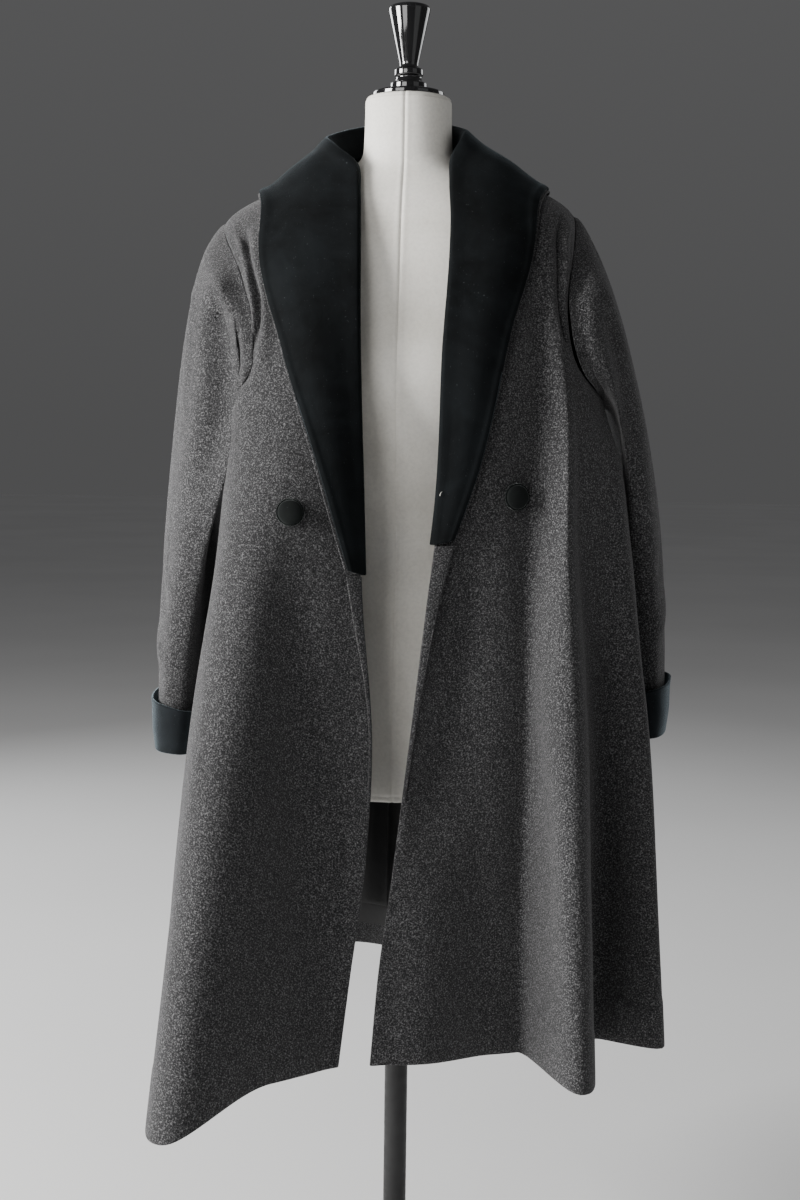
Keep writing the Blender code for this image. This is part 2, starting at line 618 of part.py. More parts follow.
def turned(name, profile, steps, material, place=(0, 0, 0), facing_way=None):
    """A turned solid from a profile of (radius, height), top to bottom, closed on its axis."""
    mesh = bpy.data.meshes.new(name)
    points = [(0.0, 0.0, profile[0][1])] + [(r, 0.0, z) for r, z in profile] + [(0.0, 0.0, profile[-1][1])]
    mesh.from_pydata(points, [(i, i + 1) for i in range(len(points) - 1)], [])
    item = add_object(name, mesh, material)
    screw = item.modifiers.new("turn", "SCREW")
    screw.steps = steps
    screw.render_steps = steps
    screw.use_merge_vertices = True
    screw.merge_threshold = 0.00001
    screw.use_smooth_shade = True
    item.location = place
    if facing_way is not None:
        item.rotation_euler = facing_way
    return item


def button(name, x, z, material):
    """A domed button, seated on the front panel where it faces the viewer."""
    angle, drop = math.degrees(math.asin(x / RING["half_width"][4])), 0.45
    for _ in range(40):
        here = body_point(angle, drop)
        angle += (x - here[0]) * 200
        drop += (here[2] - z) * 0.9
    normal = body_normal(angle, drop)
    turns_near, drops_near = np.meshgrid(np.linspace(-8, 8, 33), np.linspace(-0.03, 0.03, 25))
    around = body_point(angle + turns_near, drop + drops_near) - here
    height = around @ normal
    beside = np.linalg.norm(around - height[..., None] * normal, axis=-1)
    rise = height[beside < BUTTON_RADIUS].max() + BUTTON_SEAT
    yaw = math.atan2(normal[0], -normal[1])
    lean = math.asin(normal[2])
    turns = np.radians(np.linspace(80, 0, 6))
    profile = [(BUTTON_RADIUS * math.cos(t), BUTTON_HEIGHT * (BUTTON_RIM + (1 - BUTTON_RIM) * math.sin(t)))
               for t in turns]
    profile.append((BUTTON_RADIUS * BUTTON_FOOT, 0.0))
    place = tuple(here + normal * rise)
    return turned(name, profile, 16, material, place, (math.pi / 2 - lean, 0.0, yaw))


def torso(material):
    """The canvas-covered form: oval rings from the neck to the cut-off hips, closed at both ends."""
    size = table(TORSO, TORSO_COLUMNS)
    count = 28
    turn = 2 * np.pi * np.arange(count) / count
    rings = []
    for i in range(len(TORSO)):
        front = np.cos(turn) > 0
        depth = np.where(front, size["depth_front"][i], size["depth_back"][i])
        x = size["half_width"][i] * np.sin(turn)
        y = size["middle"][i] - depth * np.cos(turn)
        rings.append(np.stack([x, y, np.full(count, size["z"][i])], axis=-1))
    points = np.concatenate(rings)
    faces = grid_faces(len(rings), count, True, 0).tolist()
    faces.append(list(range(count)))
    faces.append(list(range(len(points) - 1, len(points) - 1 - count, -1)))
    mesh = bpy.data.meshes.new("torso")
    mesh.from_pydata(points.tolist(), [], faces)
    bm = bmesh.new()
    bm.from_mesh(mesh)
    bmesh.ops.recalc_face_normals(bm, faces=bm.faces)
    bm.to_mesh(mesh)
    bm.free()
    mesh.shade_smooth()
    mesh.set_sharp_from_angle(angle=math.radians(50))
    return add_object("torso", mesh, material)


def stand(material, base_material):
    """The plate and knob on the neck, and the pole with its socket on a flat weighted base."""
    plate = NECK_TOP + SEAM
    turned("neck_plate", ((PLATE_RADIUS - 0.002, PLATE_HEIGHT), (PLATE_RADIUS, PLATE_HEIGHT - 0.002),
                          (PLATE_RADIUS, 0.0)), 32, material, (0, 0, plate))
    top = [(radius, height) for height, radius in FINIAL][::-1]
    turned("finial", top, 24, material, (0, 0, plate + PLATE_HEIGHT + SEAM))
    base_top = BASE_PROFILE[0][1]
    pole_bottom = base_top + SEAM
    pole_top = TORSO_BOTTOM - SEAM
    turned("pole", ((POLE_RADIUS, pole_top - pole_bottom), (POLE_RADIUS, 0.0)), 24, material,
           (0, 0, pole_bottom))
    turned("stand_base", BASE_PROFILE, 40, base_material)


def clear_scene():
    for item in list(bpy.data.objects):
        bpy.data.objects.remove(item)


def main():
    clear_scene()
    collection = bpy.data.collections.new("wool_coat")
    bpy.context.scene.collection.children.link(collection)
    wool = finish("charcoal_wool", (0.070, 0.070, 0.075), 0.95)
    velvet = finish("black_velvet", (0.010, 0.013, 0.013), 0.85)
    lining = finish("black_lining", (0.008, 0.008, 0.009), 0.45)
    canvas = finish("cream_canvas", (0.70, 0.67, 0.60), 0.80)
    gloss = finish("black_gloss", (0.010, 0.010, 0.010), 0.15)
    black_steel = finish("black_steel", (0.015, 0.015, 0.015), 0.40, 1.0)
    body_panel("left", "front_left", wool)
    body_panel("right", "front_right", wool)
    body_panel("back", "back", wool)
    back_lining(lining)
    for side in ("left", "right"):
        sleeve(side, wool)
        cuff(side, velvet)
        facing(side, wool)
    collar(velvet, wool)
    for name, x, z in BUTTONS:
        button(name, x, z, velvet)
    torso(canvas)
    stand(gloss, black_steel)


main()
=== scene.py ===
# A wool swing coat with a velvet shawl collar, open on a limbless dress form and its stand.
# Metres, +Z up. The form faces -Y. Angles run from the front, 0, through +X, 90, to the back, 180.
# "drop" runs down the coat: 0 is the neck seam, 1 the hem. Left and right are the viewer's.
import math

import bmesh
import bpy
import numpy as np
from mathutils import Matrix, Vector


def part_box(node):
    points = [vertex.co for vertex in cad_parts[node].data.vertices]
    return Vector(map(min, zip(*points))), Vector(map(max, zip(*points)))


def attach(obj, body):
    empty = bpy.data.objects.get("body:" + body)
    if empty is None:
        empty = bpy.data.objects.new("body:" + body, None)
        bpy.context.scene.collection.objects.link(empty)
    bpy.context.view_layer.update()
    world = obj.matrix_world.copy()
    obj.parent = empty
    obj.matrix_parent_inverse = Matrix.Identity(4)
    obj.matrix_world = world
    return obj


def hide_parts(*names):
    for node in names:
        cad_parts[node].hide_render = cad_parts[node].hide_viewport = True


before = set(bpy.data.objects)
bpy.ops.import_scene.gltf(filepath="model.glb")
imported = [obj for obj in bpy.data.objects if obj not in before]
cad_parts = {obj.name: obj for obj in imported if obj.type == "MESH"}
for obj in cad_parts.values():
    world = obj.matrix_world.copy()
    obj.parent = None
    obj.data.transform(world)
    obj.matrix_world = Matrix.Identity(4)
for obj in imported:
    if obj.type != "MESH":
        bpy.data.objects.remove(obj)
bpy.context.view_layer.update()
print("frame loaded")


# curves and grids, used by every piece
def columnsOf(names, rows):
    # a table's columns by name
    values = np.array(rows, dtype=float)
    return {name: values[:, i] for i, name in enumerate(names)}


def smoothCurve(at, knots, values):
    # cubic Hermite pieces through the knots, each slope the mean of the two steps beside it
    at = np.clip(np.asarray(at, dtype=float), knots[0], knots[-1])
    values = np.asarray(values, dtype=float)
    tail = (1,) * (values.ndim - 1)
    steps = np.diff(values, axis=0) / np.diff(knots).reshape((-1,) + tail)
    slopes = np.concatenate((steps[:1], (steps[:-1] + steps[1:]) / 2, steps[-1:]))
    i = np.clip(np.searchsorted(knots, at, side="right") - 1, 0, len(knots) - 2)
    width = (knots[i + 1] - knots[i]).reshape(at.shape + tail)
    t = (at - knots[i]).reshape(at.shape + tail) / width
    keep = (1 + 2 * t) * (1 - t) ** 2
    return (keep * values[i] + t * (1 - t) ** 2 * width * slopes[i]
            + (1 - keep) * values[i + 1] - t * t * (1 - t) * width * slopes[i + 1])


def unit(vectors):
    # each vector divided by its own length
    return vectors / np.maximum(np.linalg.norm(vectors, axis=-1, keepdims=True), 1e-12)


def softStep(low, high, value):
    # 0 below low, 1 above high, a smooth cubic between
    t = np.clip((value - low) / (high - low), 0, 1)
    return t * t * (3 - 2 * t)


def finerRows(grid, count):
    # the same surface with more rows: a smooth curve down each column, timed by the mean row spacing
    gaps = np.linalg.norm(np.diff(grid, axis=0), axis=-1).mean(axis=1)
    knots = np.concatenate(([0], np.cumsum(gaps)))
    return smoothCurve(np.linspace(0, knots[-1], count), knots, grid)


def finerColumns(grid, count, closed=False):
    # the same across; a closed grid is carried round past its join before it is cut back
    turned = np.swapaxes(grid, 0, 1)
    if not closed:
        return np.swapaxes(finerRows(turned, count), 0, 1)
    n = len(turned)
    padded = np.concatenate((turned[-3:], turned, turned[:4]))
    at = 3 + np.arange(count) / count * n
    return np.swapaxes(smoothCurve(at, np.arange(len(padded), dtype=float), padded), 0, 1)


def gridNormals(points, closed=False):
    # the cross product of the steps down and across
    down = np.gradient(points, axis=0)
    if closed:
        across = np.roll(points, -1, axis=1) - np.roll(points, 1, axis=1)
    else:
        across = np.gradient(points, axis=1)
    return unit(np.cross(down, across))


def fullTurn(count):
    # even angles once round, as a row
    return np.linspace(0, 2 * np.pi, count, endpoint=False)[None, :]


def wander(a, b, seed, waves=7):
    # a smooth uneven field from about -1 to 1: slow sine waves added up, each with a direction, speed and
    # phase drawn from the seed
    dice = np.random.default_rng(seed)
    total = 0.0
    for _ in range(waves):
        turn, speed, phase = dice.uniform(0, np.pi), dice.uniform(0.5, 1.6), dice.uniform(0, 2 * np.pi)
        total = total + np.sin((a * np.cos(turn) + b * np.sin(turn)) * speed + phase)
    return total / waves * 1.6


def wovenLine(points, count=70):
    # a smooth curve through the points, with even steps from each point to the next
    line = np.array(points, dtype=float)
    return smoothCurve(np.linspace(0, len(line) - 1, count), np.arange(len(line), dtype=float), line)


def foldRelief(points, folds, place, tooFar=0.06):
    # each fold is a soft ridge or trough: height times a bell of the distance to its line, fading at both
    # ends; a fold whose middle lies far from every point is passed over
    flat = points.reshape(-1, 3)
    relief = np.zeros(len(flat))
    for height, halfWidth, fade, line in folds:
        middle = place(wovenLine(line, 3))[1]
        if np.linalg.norm(flat - middle, axis=1).min() >= tooFar:
            continue
        path = place(wovenLine(line))
        gap = flat[:, None, :] - path[None, :, :]
        away = np.einsum("ijk,ijk->ij", gap, gap)
        nearest = away.argmin(axis=1)
        share = nearest / (len(path) - 1)
        distance = np.sqrt(away[np.arange(len(flat)), nearest])
        ends = softStep(0, fade, share) * softStep(0, fade, 1 - share)
        relief += height * np.exp(-(distance / halfWidth) ** 2) * ends
    return relief.reshape(points.shape[:2])


def lengthsAlong(points, axis):
    # the mean distance from a grid's first row or column to each of the others
    steps = np.linalg.norm(np.diff(points, axis=axis), axis=-1)
    return np.concatenate(([0], np.cumsum(steps.mean(axis=1 - axis))))


def distanceAcross(points):
    # how far each point lies from the first point of its row, along the row
    across = np.linalg.norm(np.diff(points, axis=1), axis=-1)
    return np.concatenate((np.zeros((len(points), 1)), np.cumsum(across, axis=1)), axis=1)


def meshFrom(name, rows, columns, points, uv, closedRows, closedColumns, materials, inside=None):
    # a grid of points as quads, with a UV map in metres; columns and rows may close on themselves
    i = np.arange(rows if closedRows else rows - 1)
    j = np.arange(columns if closedColumns else columns - 1)
    i, j = np.meshgrid(i, j, indexing="ij")
    i, j = i.ravel(), j.ravel()
    ii, jj = (i + 1) % rows, (j + 1) % columns
    faces = np.stack((i * columns + j, ii * columns + j, ii * columns + jj, i * columns + jj), axis=1)
    corners = np.stack((uv[i, j], uv[i + 1, j], uv[i + 1, j + 1], uv[i, j + 1]), axis=1).reshape(-1, 2)
    mesh = bpy.data.meshes.new(name)
    mesh.from_pydata(points.reshape(-1, 3).tolist(), [], faces.tolist())
    layer = mesh.uv_layers.new(name="clothUv")
    layer.data.foreach_set("uv", corners.astype(np.float32).ravel())
    for material in materials:
        mesh.materials.append(material)
    if inside is not None:
        mesh.polygons.foreach_set("material_index", inside[i, j].astype(np.int32))
    work = bmesh.new()
    work.from_mesh(mesh)
    bmesh.ops.remove_doubles(work, verts=work.verts, dist=2e-6)
    bmesh.ops.recalc_face_normals(work, faces=work.faces)
    work.to_mesh(mesh)
    work.free()
    mesh.shade_smooth()
    piece = bpy.data.objects.new(name, mesh)
    bpy.context.scene.collection.objects.link(piece)
    return piece


def clothPanel(name, outer, normals, thickness, materials, inside=None, rim=4):
    # an open sheet with a wall: its middle surface plus an offset that runs along the outside, round the rim,
    # back along the inside and round the other rim, with rounded ends where the offset shrinks to nothing
    half = thickness / 2
    middle = outer - normals * half
    left = unit(middle[:, 0] - middle[:, 1])
    right = unit(middle[:, -1] - middle[:, -2])
    middle[:, 0] -= left * half
    middle[:, -1] -= right * half
    rows, columns = middle.shape[:2]
    arc = np.linspace(0, np.pi, rim + 2)[1:-1]
    cosine, sine = np.cos(arc)[None, :, None], np.sin(arc)[None, :, None]
    rightArc = normals[:, -1:] * cosine + right[:, None] * sine
    leftArc = -normals[:, :1] * cosine + left[:, None] * sine
    offset = np.concatenate((normals, rightArc, -normals[:, ::-1], leftArc), axis=1) * half
    base = np.concatenate((middle, np.repeat(middle[:, -1:], rim, axis=1), middle[:, ::-1],
                           np.repeat(middle[:, :1], rim, axis=1)), axis=1)
    u, v = lengthsAlong(outer, 1), lengthsAlong(outer, 0)
    rimSteps = np.linspace(0, 1, rim + 2)[1:-1] * thickness
    uLoop = np.concatenate((u, u[-1] + rimSteps, u[::-1], -rimSteps, u[:1]))
    topWay, bottomWay = unit(base[0] - base[1]), unit(base[-1] - base[-2])
    base[0] -= topWay * half
    base[-1] -= bottomWay * half
    turn = np.linspace(0, np.pi / 2, rim)[1:]
    topRows = np.stack([base[0] + offset[0] * math.cos(t) + topWay * half * math.sin(t) for t in turn[::-1]])
    bottomRows = np.stack([base[-1] + offset[-1] * math.cos(t) + bottomWay * half * math.sin(t)
                           for t in turn])
    points = np.concatenate((topRows, base + offset, bottomRows))
    vAll = np.concatenate((np.full(len(turn), v[0]) - half * turn[::-1], v, v[-1] + half * turn))
    uv = np.stack(np.meshgrid(uLoop, vAll), axis=-1)
    mask = None
    if inside is not None:
        mask = np.zeros(points.shape[:2], dtype=int)
        start = columns + rim
        mask[len(turn):-len(turn), start:start + columns] = inside[:, ::-1]
    return meshFrom(name, len(points), points.shape[1], points, uv, False, True, materials, mask)


def clothTube(name, outer, normals, thickness, materials, liningFrom=None, rim=5):
    # a sleeve or cuff: rings go down the outside, round the lower rim, up the inside and round the upper rim
    half = thickness / 2
    middle = outer - normals * half
    lower, upper = unit(middle[-1] - middle[-2]), unit(middle[0] - middle[1])
    middle[-1] -= lower * half
    middle[0] -= upper * half
    arc = np.linspace(0, np.pi, rim + 2)[1:-1]
    cosine, sine = np.cos(arc)[:, None, None], np.sin(arc)[:, None, None]
    low = middle[-1] + half * (normals[-1] * cosine + lower * sine)
    high = middle[0] + half * (-normals[0] * cosine + upper * sine)
    points = np.concatenate((middle + normals * half, low, (middle - normals * half)[::-1], high))
    ring = np.linalg.norm(np.roll(outer, -1, axis=1) - outer, axis=-1).mean(axis=0)
    u, v = np.concatenate(([0], np.cumsum(ring))), lengthsAlong(outer, 0)
    rimSteps = np.linspace(0, 1, rim + 2)[1:-1] * thickness
    vLoop = np.concatenate((v, v[-1] + rimSteps, v[::-1], -rimSteps, v[:1]))
    uv = np.stack(np.meshgrid(u, vLoop), axis=-1)
    mask = None
    if liningFrom is not None:
        rows = len(outer)
        mask = np.zeros(points.shape[:2], dtype=int)
        mask[rows + rim + liningFrom:2 * rows + rim] = 1
    return meshFrom(name, len(points), points.shape[1], points, uv, True, True, materials, mask)


def carried(piece, replaced=None):
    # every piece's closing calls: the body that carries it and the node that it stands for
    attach(piece, "root")
    if replaced:
        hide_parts(replaced)


def sewn(piece, replaced):
    # the same for a piece of cloth
    carried(piece, replaced)


# materials: a look dictionary holds what a user would change, and "surface" goes to the shader's own sockets
def freshMaterial(name):
    material = bpy.data.materials.new(name)
    material.use_nodes = True
    tree = material.node_tree
    shader = tree.nodes["Principled BSDF"]

    def add(kind, settings=None, **inputs):
        # a new node; i0, i1 and i2 name inputs by number, and an input that is given a socket is linked to it
        node = tree.nodes.new(kind)
        for key, value in (settings or {}).items():
            setattr(node, key, value)
        for key, value in inputs.items():
            socket = node.inputs[int(key[1:])] if key[0] == "i" and key[1:].isdigit() else node.inputs[key]
            if isinstance(value, bpy.types.NodeSocket):
                tree.links.new(value, socket)
            else:
                socket.default_value = value
        return node
    return material, tree, shader, add


def onObject(add):
    # the object's own metres
    return add("ShaderNodeTexCoord").outputs["Object"]


def alongCloth(add):
    # metres across and down the piece's own cloth
    return add("ShaderNodeUVMap", {"uv_map": "clothUv"}).outputs["UV"]


def noise(add, place, scale, detail, roughness=0.5, distortion=0.0):
    # a cloudy field from 0 to 1
    return add("ShaderNodeTexNoise", Vector=place, Scale=scale, Detail=detail, Roughness=roughness,
               Distortion=distortion).outputs["Fac"]


def threads(add, cloth, direction, scale, distortion, detailScale=1.0):
    # soft parallel bands along the cloth
    wave = add("ShaderNodeTexWave", {"wave_type": "BANDS", "bands_direction": direction}, Vector=cloth,
               Scale=scale, Distortion=distortion, Detail=2.0)
    wave.inputs["Detail Scale"].default_value = detailScale
    return wave.outputs["Fac"]


def weighed(add, *parts):
    # a sum of fields, each times its share
    total = 0.0
    for field, share in parts:
        total = add("ShaderNodeMath", {"operation": "MULTIPLY_ADD"}, i0=field, i1=share, i2=total).outputs[0]
    return total


def blended(add, kind, first, second):
    # two colours mixed in full
    return add("ShaderNodeMix", {"data_type": "RGBA", "blend_type": kind}, Factor=1.0, A=first,
               B=second).outputs["Result"]


def bumped(add, *layers):
    # bumps on top of each other, each from (height, strength, depth in metres)
    normal = {}
    for height, strength, depth in layers:
        bump = add("ShaderNodeBump", Strength=strength, Distance=depth, Height=height, **normal)
        normal = {"Normal": bump.outputs["Normal"]}
    return normal["Normal"]


def ramp(add, source, stops):
    # a field as a colour, from (place, colour) stops
    node = add("ShaderNodeValToRGB", Fac=source)
    marks = node.color_ramp.elements
    while len(marks) < len(stops):
        marks.new(0.5)
    for mark, (place, colour) in zip(marks, stops):
        mark.position = place
        mark.color = (*colour, 1.0)
    return node.outputs["Color"]


def grey(value, tint=(1.0, 1.0, 1.0)):
    # a brightness times a tint
    return tuple(value * part for part in tint)


def dressed(tree, shader, colour, normal, surface):
    # the shader's colour, bumps and plain values
    tree.links.new(colour, shader.inputs["Base Color"])
    tree.links.new(normal, shader.inputs["Normal"])
    for name, value in surface.items():
        shader.inputs[name].default_value = value


woolLook = {
    "fibres": ((0.46, (0.0060, 0.0060, 0.0065)), (0.57, (0.027, 0.027, 0.0283)),
               (0.72, (0.170, 0.169, 0.173))),
    "patches": ((0.30, grey(0.90)), (0.70, grey(1.08))),
    "fleckScale": 620.0, "fibreScale": 1500.0, "patchScale": 6.0, "clumpScale": 240.0, "ribScale": 210.0,
    "fleckShare": 0.76, "fibreShare": 0.24, "clumpShare": 0.08, "ribShare": 0.03,
    "bump": 1.0, "bumpDepth": 0.0011,
    "surface": {"Roughness": 0.96, "Specular IOR Level": 0.18, "Sheen Weight": 0.22, "Sheen Roughness": 0.55,
                "Sheen Tint": (0.84, 0.83, 0.84, 1.0)},
}


def woolMaterial(name, look):
    # heather: dark and pale fibres mixed at a millimetre, in clumps of some millimetres, with slow patches
    material, tree, shader, add = freshMaterial(name)
    place, cloth = onObject(add), alongCloth(add)
    fibre = noise(add, place, look["fibreScale"], 2.0, 0.7)
    fleck = noise(add, place, look["fleckScale"], 3.0, 0.62)
    clump = noise(add, place, look["clumpScale"], 2.0, 0.6)
    patch = noise(add, place, look["patchScale"], 3.0, 0.55)
    rib = threads(add, cloth, "DIAGONAL", look["ribScale"], 5.0, 3.0)
    heather = weighed(add, (fibre, look["fibreShare"]), (fleck, look["fleckShare"]),
                      (clump, look["clumpShare"]), (rib, look["ribShare"]))
    colour = blended(add, "MULTIPLY", ramp(add, heather, look["fibres"]), ramp(add, patch, look["patches"]))
    dressed(tree, shader, colour, bumped(add, (heather, look["bump"], look["bumpDepth"])), look["surface"])
    return material


velvetLook = {
    "deep": (0.0013, 0.0018, 0.0020), "lit": (0.0064, 0.0081, 0.0092), "lint": (0.030, 0.032, 0.034),
    "pressScale": 7.0, "brushScale": 26.0, "brushShare": 0.35, "pileScale": 2600.0, "lintScale": 520.0,
    "surface": {"Roughness": 0.88, "Specular IOR Level": 0.12, "Sheen Weight": 0.26, "Sheen Roughness": 0.30,
                "Sheen Tint": (0.46, 0.56, 0.62, 1.0)},
}


def velvetMaterial(name, look):
    # cotton velvet: almost black in the pile, a blue-green bloom at the edges, soft pressed patches and lint
    material, tree, shader, add = freshMaterial(name)
    place = onObject(add)
    press = noise(add, place, look["pressScale"], 4.0, 0.62, 0.7)
    brushed = noise(add, place, look["brushScale"], 3.0, 0.6, 1.2)
    pile = noise(add, place, look["pileScale"], 1.0, 0.6)
    lint = noise(add, place, look["lintScale"], 1.0)
    nap = weighed(add, (press, 1.0), (brushed, look["brushShare"]))
    colour = blended(add, "ADD", ramp(add, nap, ((0.52, look["deep"]), (0.86, look["lit"]))),
                     ramp(add, lint, ((0.735, grey(0.0)), (0.775, look["lint"]))))
    dressed(tree, shader, colour, bumped(add, (brushed, 0.35, 0.0016), (pile, 0.5, 0.0003)), look["surface"])
    return material


def velvetLike(deep, lit, **sheen):
    # a copy of the velvet with lighter pile colours: painted light, with its own sheen settings
    surface = {**velvetLook["surface"], **{"Sheen " + key: value for key, value in sheen.items()}}
    return {**velvetLook, "deep": deep, "lit": lit, "surface": surface}


# the cuffs' velvet: a lighter copy of the velvet, its colour painted lighter as painted light
cuffVelvetLook = velvetLike((0.0030, 0.0038, 0.0046), (0.0120, 0.0145, 0.0170), Weight=0.75, Roughness=0.42)
# the buttons' velvet: a lighter copy of the velvet, painted light for the lit dome and its rim
buttonVelvetLook = velvetLike((0.0022, 0.0028, 0.0028), (0.0110, 0.0130, 0.0126), Weight=0.65, Roughness=0.30,
                              Tint=(0.88, 0.95, 0.93, 1.0))
# the lining's crumple colours: deep is painted shade, lit is painted light
liningLook = {
    "deep": grey(0.0040), "lit": grey(0.0085, (1.0, 1.0, 1.06)), "twillScale": 520.0, "crumpleScale": 16.0,
    "surface": {"Roughness": 0.46, "Specular IOR Level": 0.35},
}


def liningMaterial(name, look):
    # black satin twill: fine slanting threads, a soft gloss, faint crumple; the colour follows the crumple,
    # painted shade in its hollows and painted light on its rises
    material, tree, shader, add = freshMaterial(name)
    place, cloth = onObject(add), alongCloth(add)
    twill = threads(add, cloth, "DIAGONAL", look["twillScale"], 0.6)
    crumple = noise(add, place, look["crumpleScale"], 3.0, 0.55)
    colour = ramp(add, crumple, ((0.30, look["deep"]), (0.70, look["lit"])))
    dressed(tree, shader, colour, bumped(add, (crumple, 0.45, 0.004), (twill, 0.25, 0.0002)), look["surface"])
    return material


canvasLook = {
    "shade": (0.67, 0.645, 0.585), "face": (0.79, 0.765, 0.705), "light": (0.85, 0.83, 0.775),
    "weaveScale": 640.0, "mottleScale": 11.0, "slubScale": 260.0,
    "surface": {"Roughness": 0.78, "Specular IOR Level": 0.25, "Sheen Weight": 0.08},
}


def canvasMaterial(name, look):
    # tightly stretched cotton canvas: two crossed sets of threads, slow yellowing and faint handling marks
    material, tree, shader, add = freshMaterial(name)
    place, cloth = onObject(add), alongCloth(add)
    warp, weft = (threads(add, cloth, way, look["weaveScale"], 0.4) for way in "XY")
    mottle = noise(add, place, look["mottleScale"], 5.0, 0.6)
    slub = noise(add, place, look["slubScale"], 2.0, 0.6)
    yellowed = ramp(add, mottle, ((0.28, look["shade"]), (0.50, look["face"]), (0.72, look["light"])))
    colour = blended(add, "MULTIPLY", yellowed, ramp(add, slub, ((0.34, grey(0.93)), (0.60, grey(1.0)))))
    weave = add("ShaderNodeMath", {"operation": "MAXIMUM"}, i0=warp, i1=weft).outputs[0]
    dressed(tree, shader, colour, bumped(add, (mottle, 0.12, 0.002), (weave, 0.18, 0.0003)), look["surface"])
    return material


standLooks = {
    "blackGloss": {"base": (0.006, 0.006, 0.0065), "roughness": 0.07, "coat": 1.0, "metal": 0.0,
                   "grainScale": 90.0},
    "blackSatin": {"base": (0.0035, 0.0035, 0.0038), "roughness": 0.42, "coat": 0.0, "metal": 0.0,
                   "grainScale": 90.0},
    "blackSteel": {"base": (0.008, 0.008, 0.009), "roughness": 0.38, "coat": 0.1, "metal": 0.4,
                   "grainScale": 40.0},
}


def lacquerMaterial(name):
    # hard black finish with faint unevenness in its gloss and fine dust
    look = standLooks[name]
    material, tree, shader, add = freshMaterial(name)
    place = onObject(add)
    wear = noise(add, place, look["grainScale"], 4.0, 0.6)
    dust = noise(add, place, 900.0, 2.0, 0.7)
    colour = ramp(add, dust, ((0.55, look["base"]), (0.80, grey(2.2, look["base"]))))
    worn = ramp(add, wear, ((0.30, grey(look["roughness"] * 0.8)), (0.75, grey(look["roughness"] * 1.5))))
    tree.links.new(worn, shader.inputs["Roughness"])
    dressed(tree, shader, colour, bumped(add, (wear, 0.05, 0.0004)),
            {"Metallic": look["metal"], "Coat Weight": look["coat"], "Coat Roughness": 0.05})
    return material


wool = woolMaterial("heatheredWool", woolLook)
velvet = velvetMaterial("blackVelvet", velvetLook)
# the cuffs' velvet, painted lighter: painted light
paintedLitVelvet = velvetMaterial("paintedLitVelvet", cuffVelvetLook)
# the buttons' velvet, painted lighter: painted light
buttonVelvet = velvetMaterial("buttonVelvet", buttonVelvetLook)
lining = liningMaterial("satinLining", liningLook)
canvas = canvasMaterial("formCanvas", canvasLook)
gloss, satin, steel = (lacquerMaterial(name) for name in ("blackGloss", "blackSatin", "blackSteel"))
print("materials made")


# the coat's own form: rings of cloth around the body, moved out by each flute
coat = {
    "thickness": 0.0030, "seamGap": 0.0003, "seamLap": 0.0012, "crestRoundness": 1.30, "foldEase": 0.06,
    "shoulderTilt": 0.030, "tipDrop": 0.15, "underarmDrop": 0.37,
    "ringNames": ("drop", "sideZ", "frontZ", "backZ", "halfWidth", "shift", "depthFront", "depthBack"),
    "rings": (
        (0.00, 1.418, 1.394, 1.436, 0.070, -0.008, 0.064, 0.070),
        (0.07, 1.391, 1.330, 1.405, 0.134, -0.009, 0.096, 0.102),
        (0.15, 1.350, 1.262, 1.345, 0.202, -0.010, 0.120, 0.130),
        (0.26, 1.250, 1.185, 1.240, 0.208, -0.004, 0.130, 0.150),
        (0.38, 1.125, 1.090, 1.110, 0.211, 0.002, 0.138, 0.160),
        (0.52, 0.970, 0.950, 0.950, 0.213, 0.000, 0.148, 0.170),
        (0.70, 0.760, 0.750, 0.745, 0.225, 0.000, 0.160, 0.190),
        (0.86, 0.570, 0.568, 0.560, 0.232, 0.001, 0.176, 0.215),
        (1.00, 0.412, 0.424, 0.410, 0.239, 0.004, 0.192, 0.240)),
    "foldNames": ("crestTop", "crestHem", "start", "growth", "reachFront", "reachBack", "depth", "push",
                  "sag"),
    "folds": (
        (-42, -42, 0.10, 0.92, 46, 36, 0.168, -14, -0.004),
        (-46, -44, 0.40, 1.00, 24, 20, 0.068, -10, 0.034),
        (0, 3, 0.45, 1.30, 14, 26, 0.042, 0, -0.006),
        (67, 53, 0.10, 0.80, 16, 16, 0.130, 13, 0.006),
        (80, 81, 0.26, 0.36, 16, 15, 0.106, 44, -0.004),
        (118, 122, 0.34, 1.00, 20, 19, 0.062, 122, 0.004),
        (158, 160, 0.30, 1.10, 20, 18, 0.052, 160, 0.006),
        (204, 200, 0.26, 1.05, 19, 22, 0.066, 202, 0.008),
        (243, 240, 0.36, 1.00, 17, 19, 0.056, 238, 0.004)),
    "edgeNames": ("drop", "leftX", "rightX"),
    "edges": (
        (0.00, -0.054, 0.054), (0.08, -0.048, 0.061), (0.26, -0.040, 0.056), (0.44, -0.030, 0.052),
        (0.55, -0.025, 0.040), (0.68, -0.013, 0.025), (0.80, -0.015, 0.011), (0.90, -0.024, 0.000),
        (1.00, -0.031, -0.005)),
    "armholeNames": ("drop", "frontLeft", "frontRight", "back"),
    "armhole": (
        (0.15, 90, 90, 90), (0.175, 62, 77, 103), (0.22, 50, 68, 112), (0.28, 46, 66, 115),
        (0.33, 50, 70, 108), (0.355, 66, 78, 99), (0.37, 90, 90, 90)),
}
rings = columnsOf(coat["ringNames"], coat["rings"])
edges = columnsOf(coat["edgeNames"], coat["edges"])
armhole = columnsOf(coat["armholeNames"], coat["armhole"])
sideSign = {"left": -1.0, "right": 1.0}
sideName = {"left": "Left", "right": "Right"}


def ringAt(name, drop):
    # one of the rings' measures at a drop
    return smoothCurve(drop, rings["drop"], rings[name])


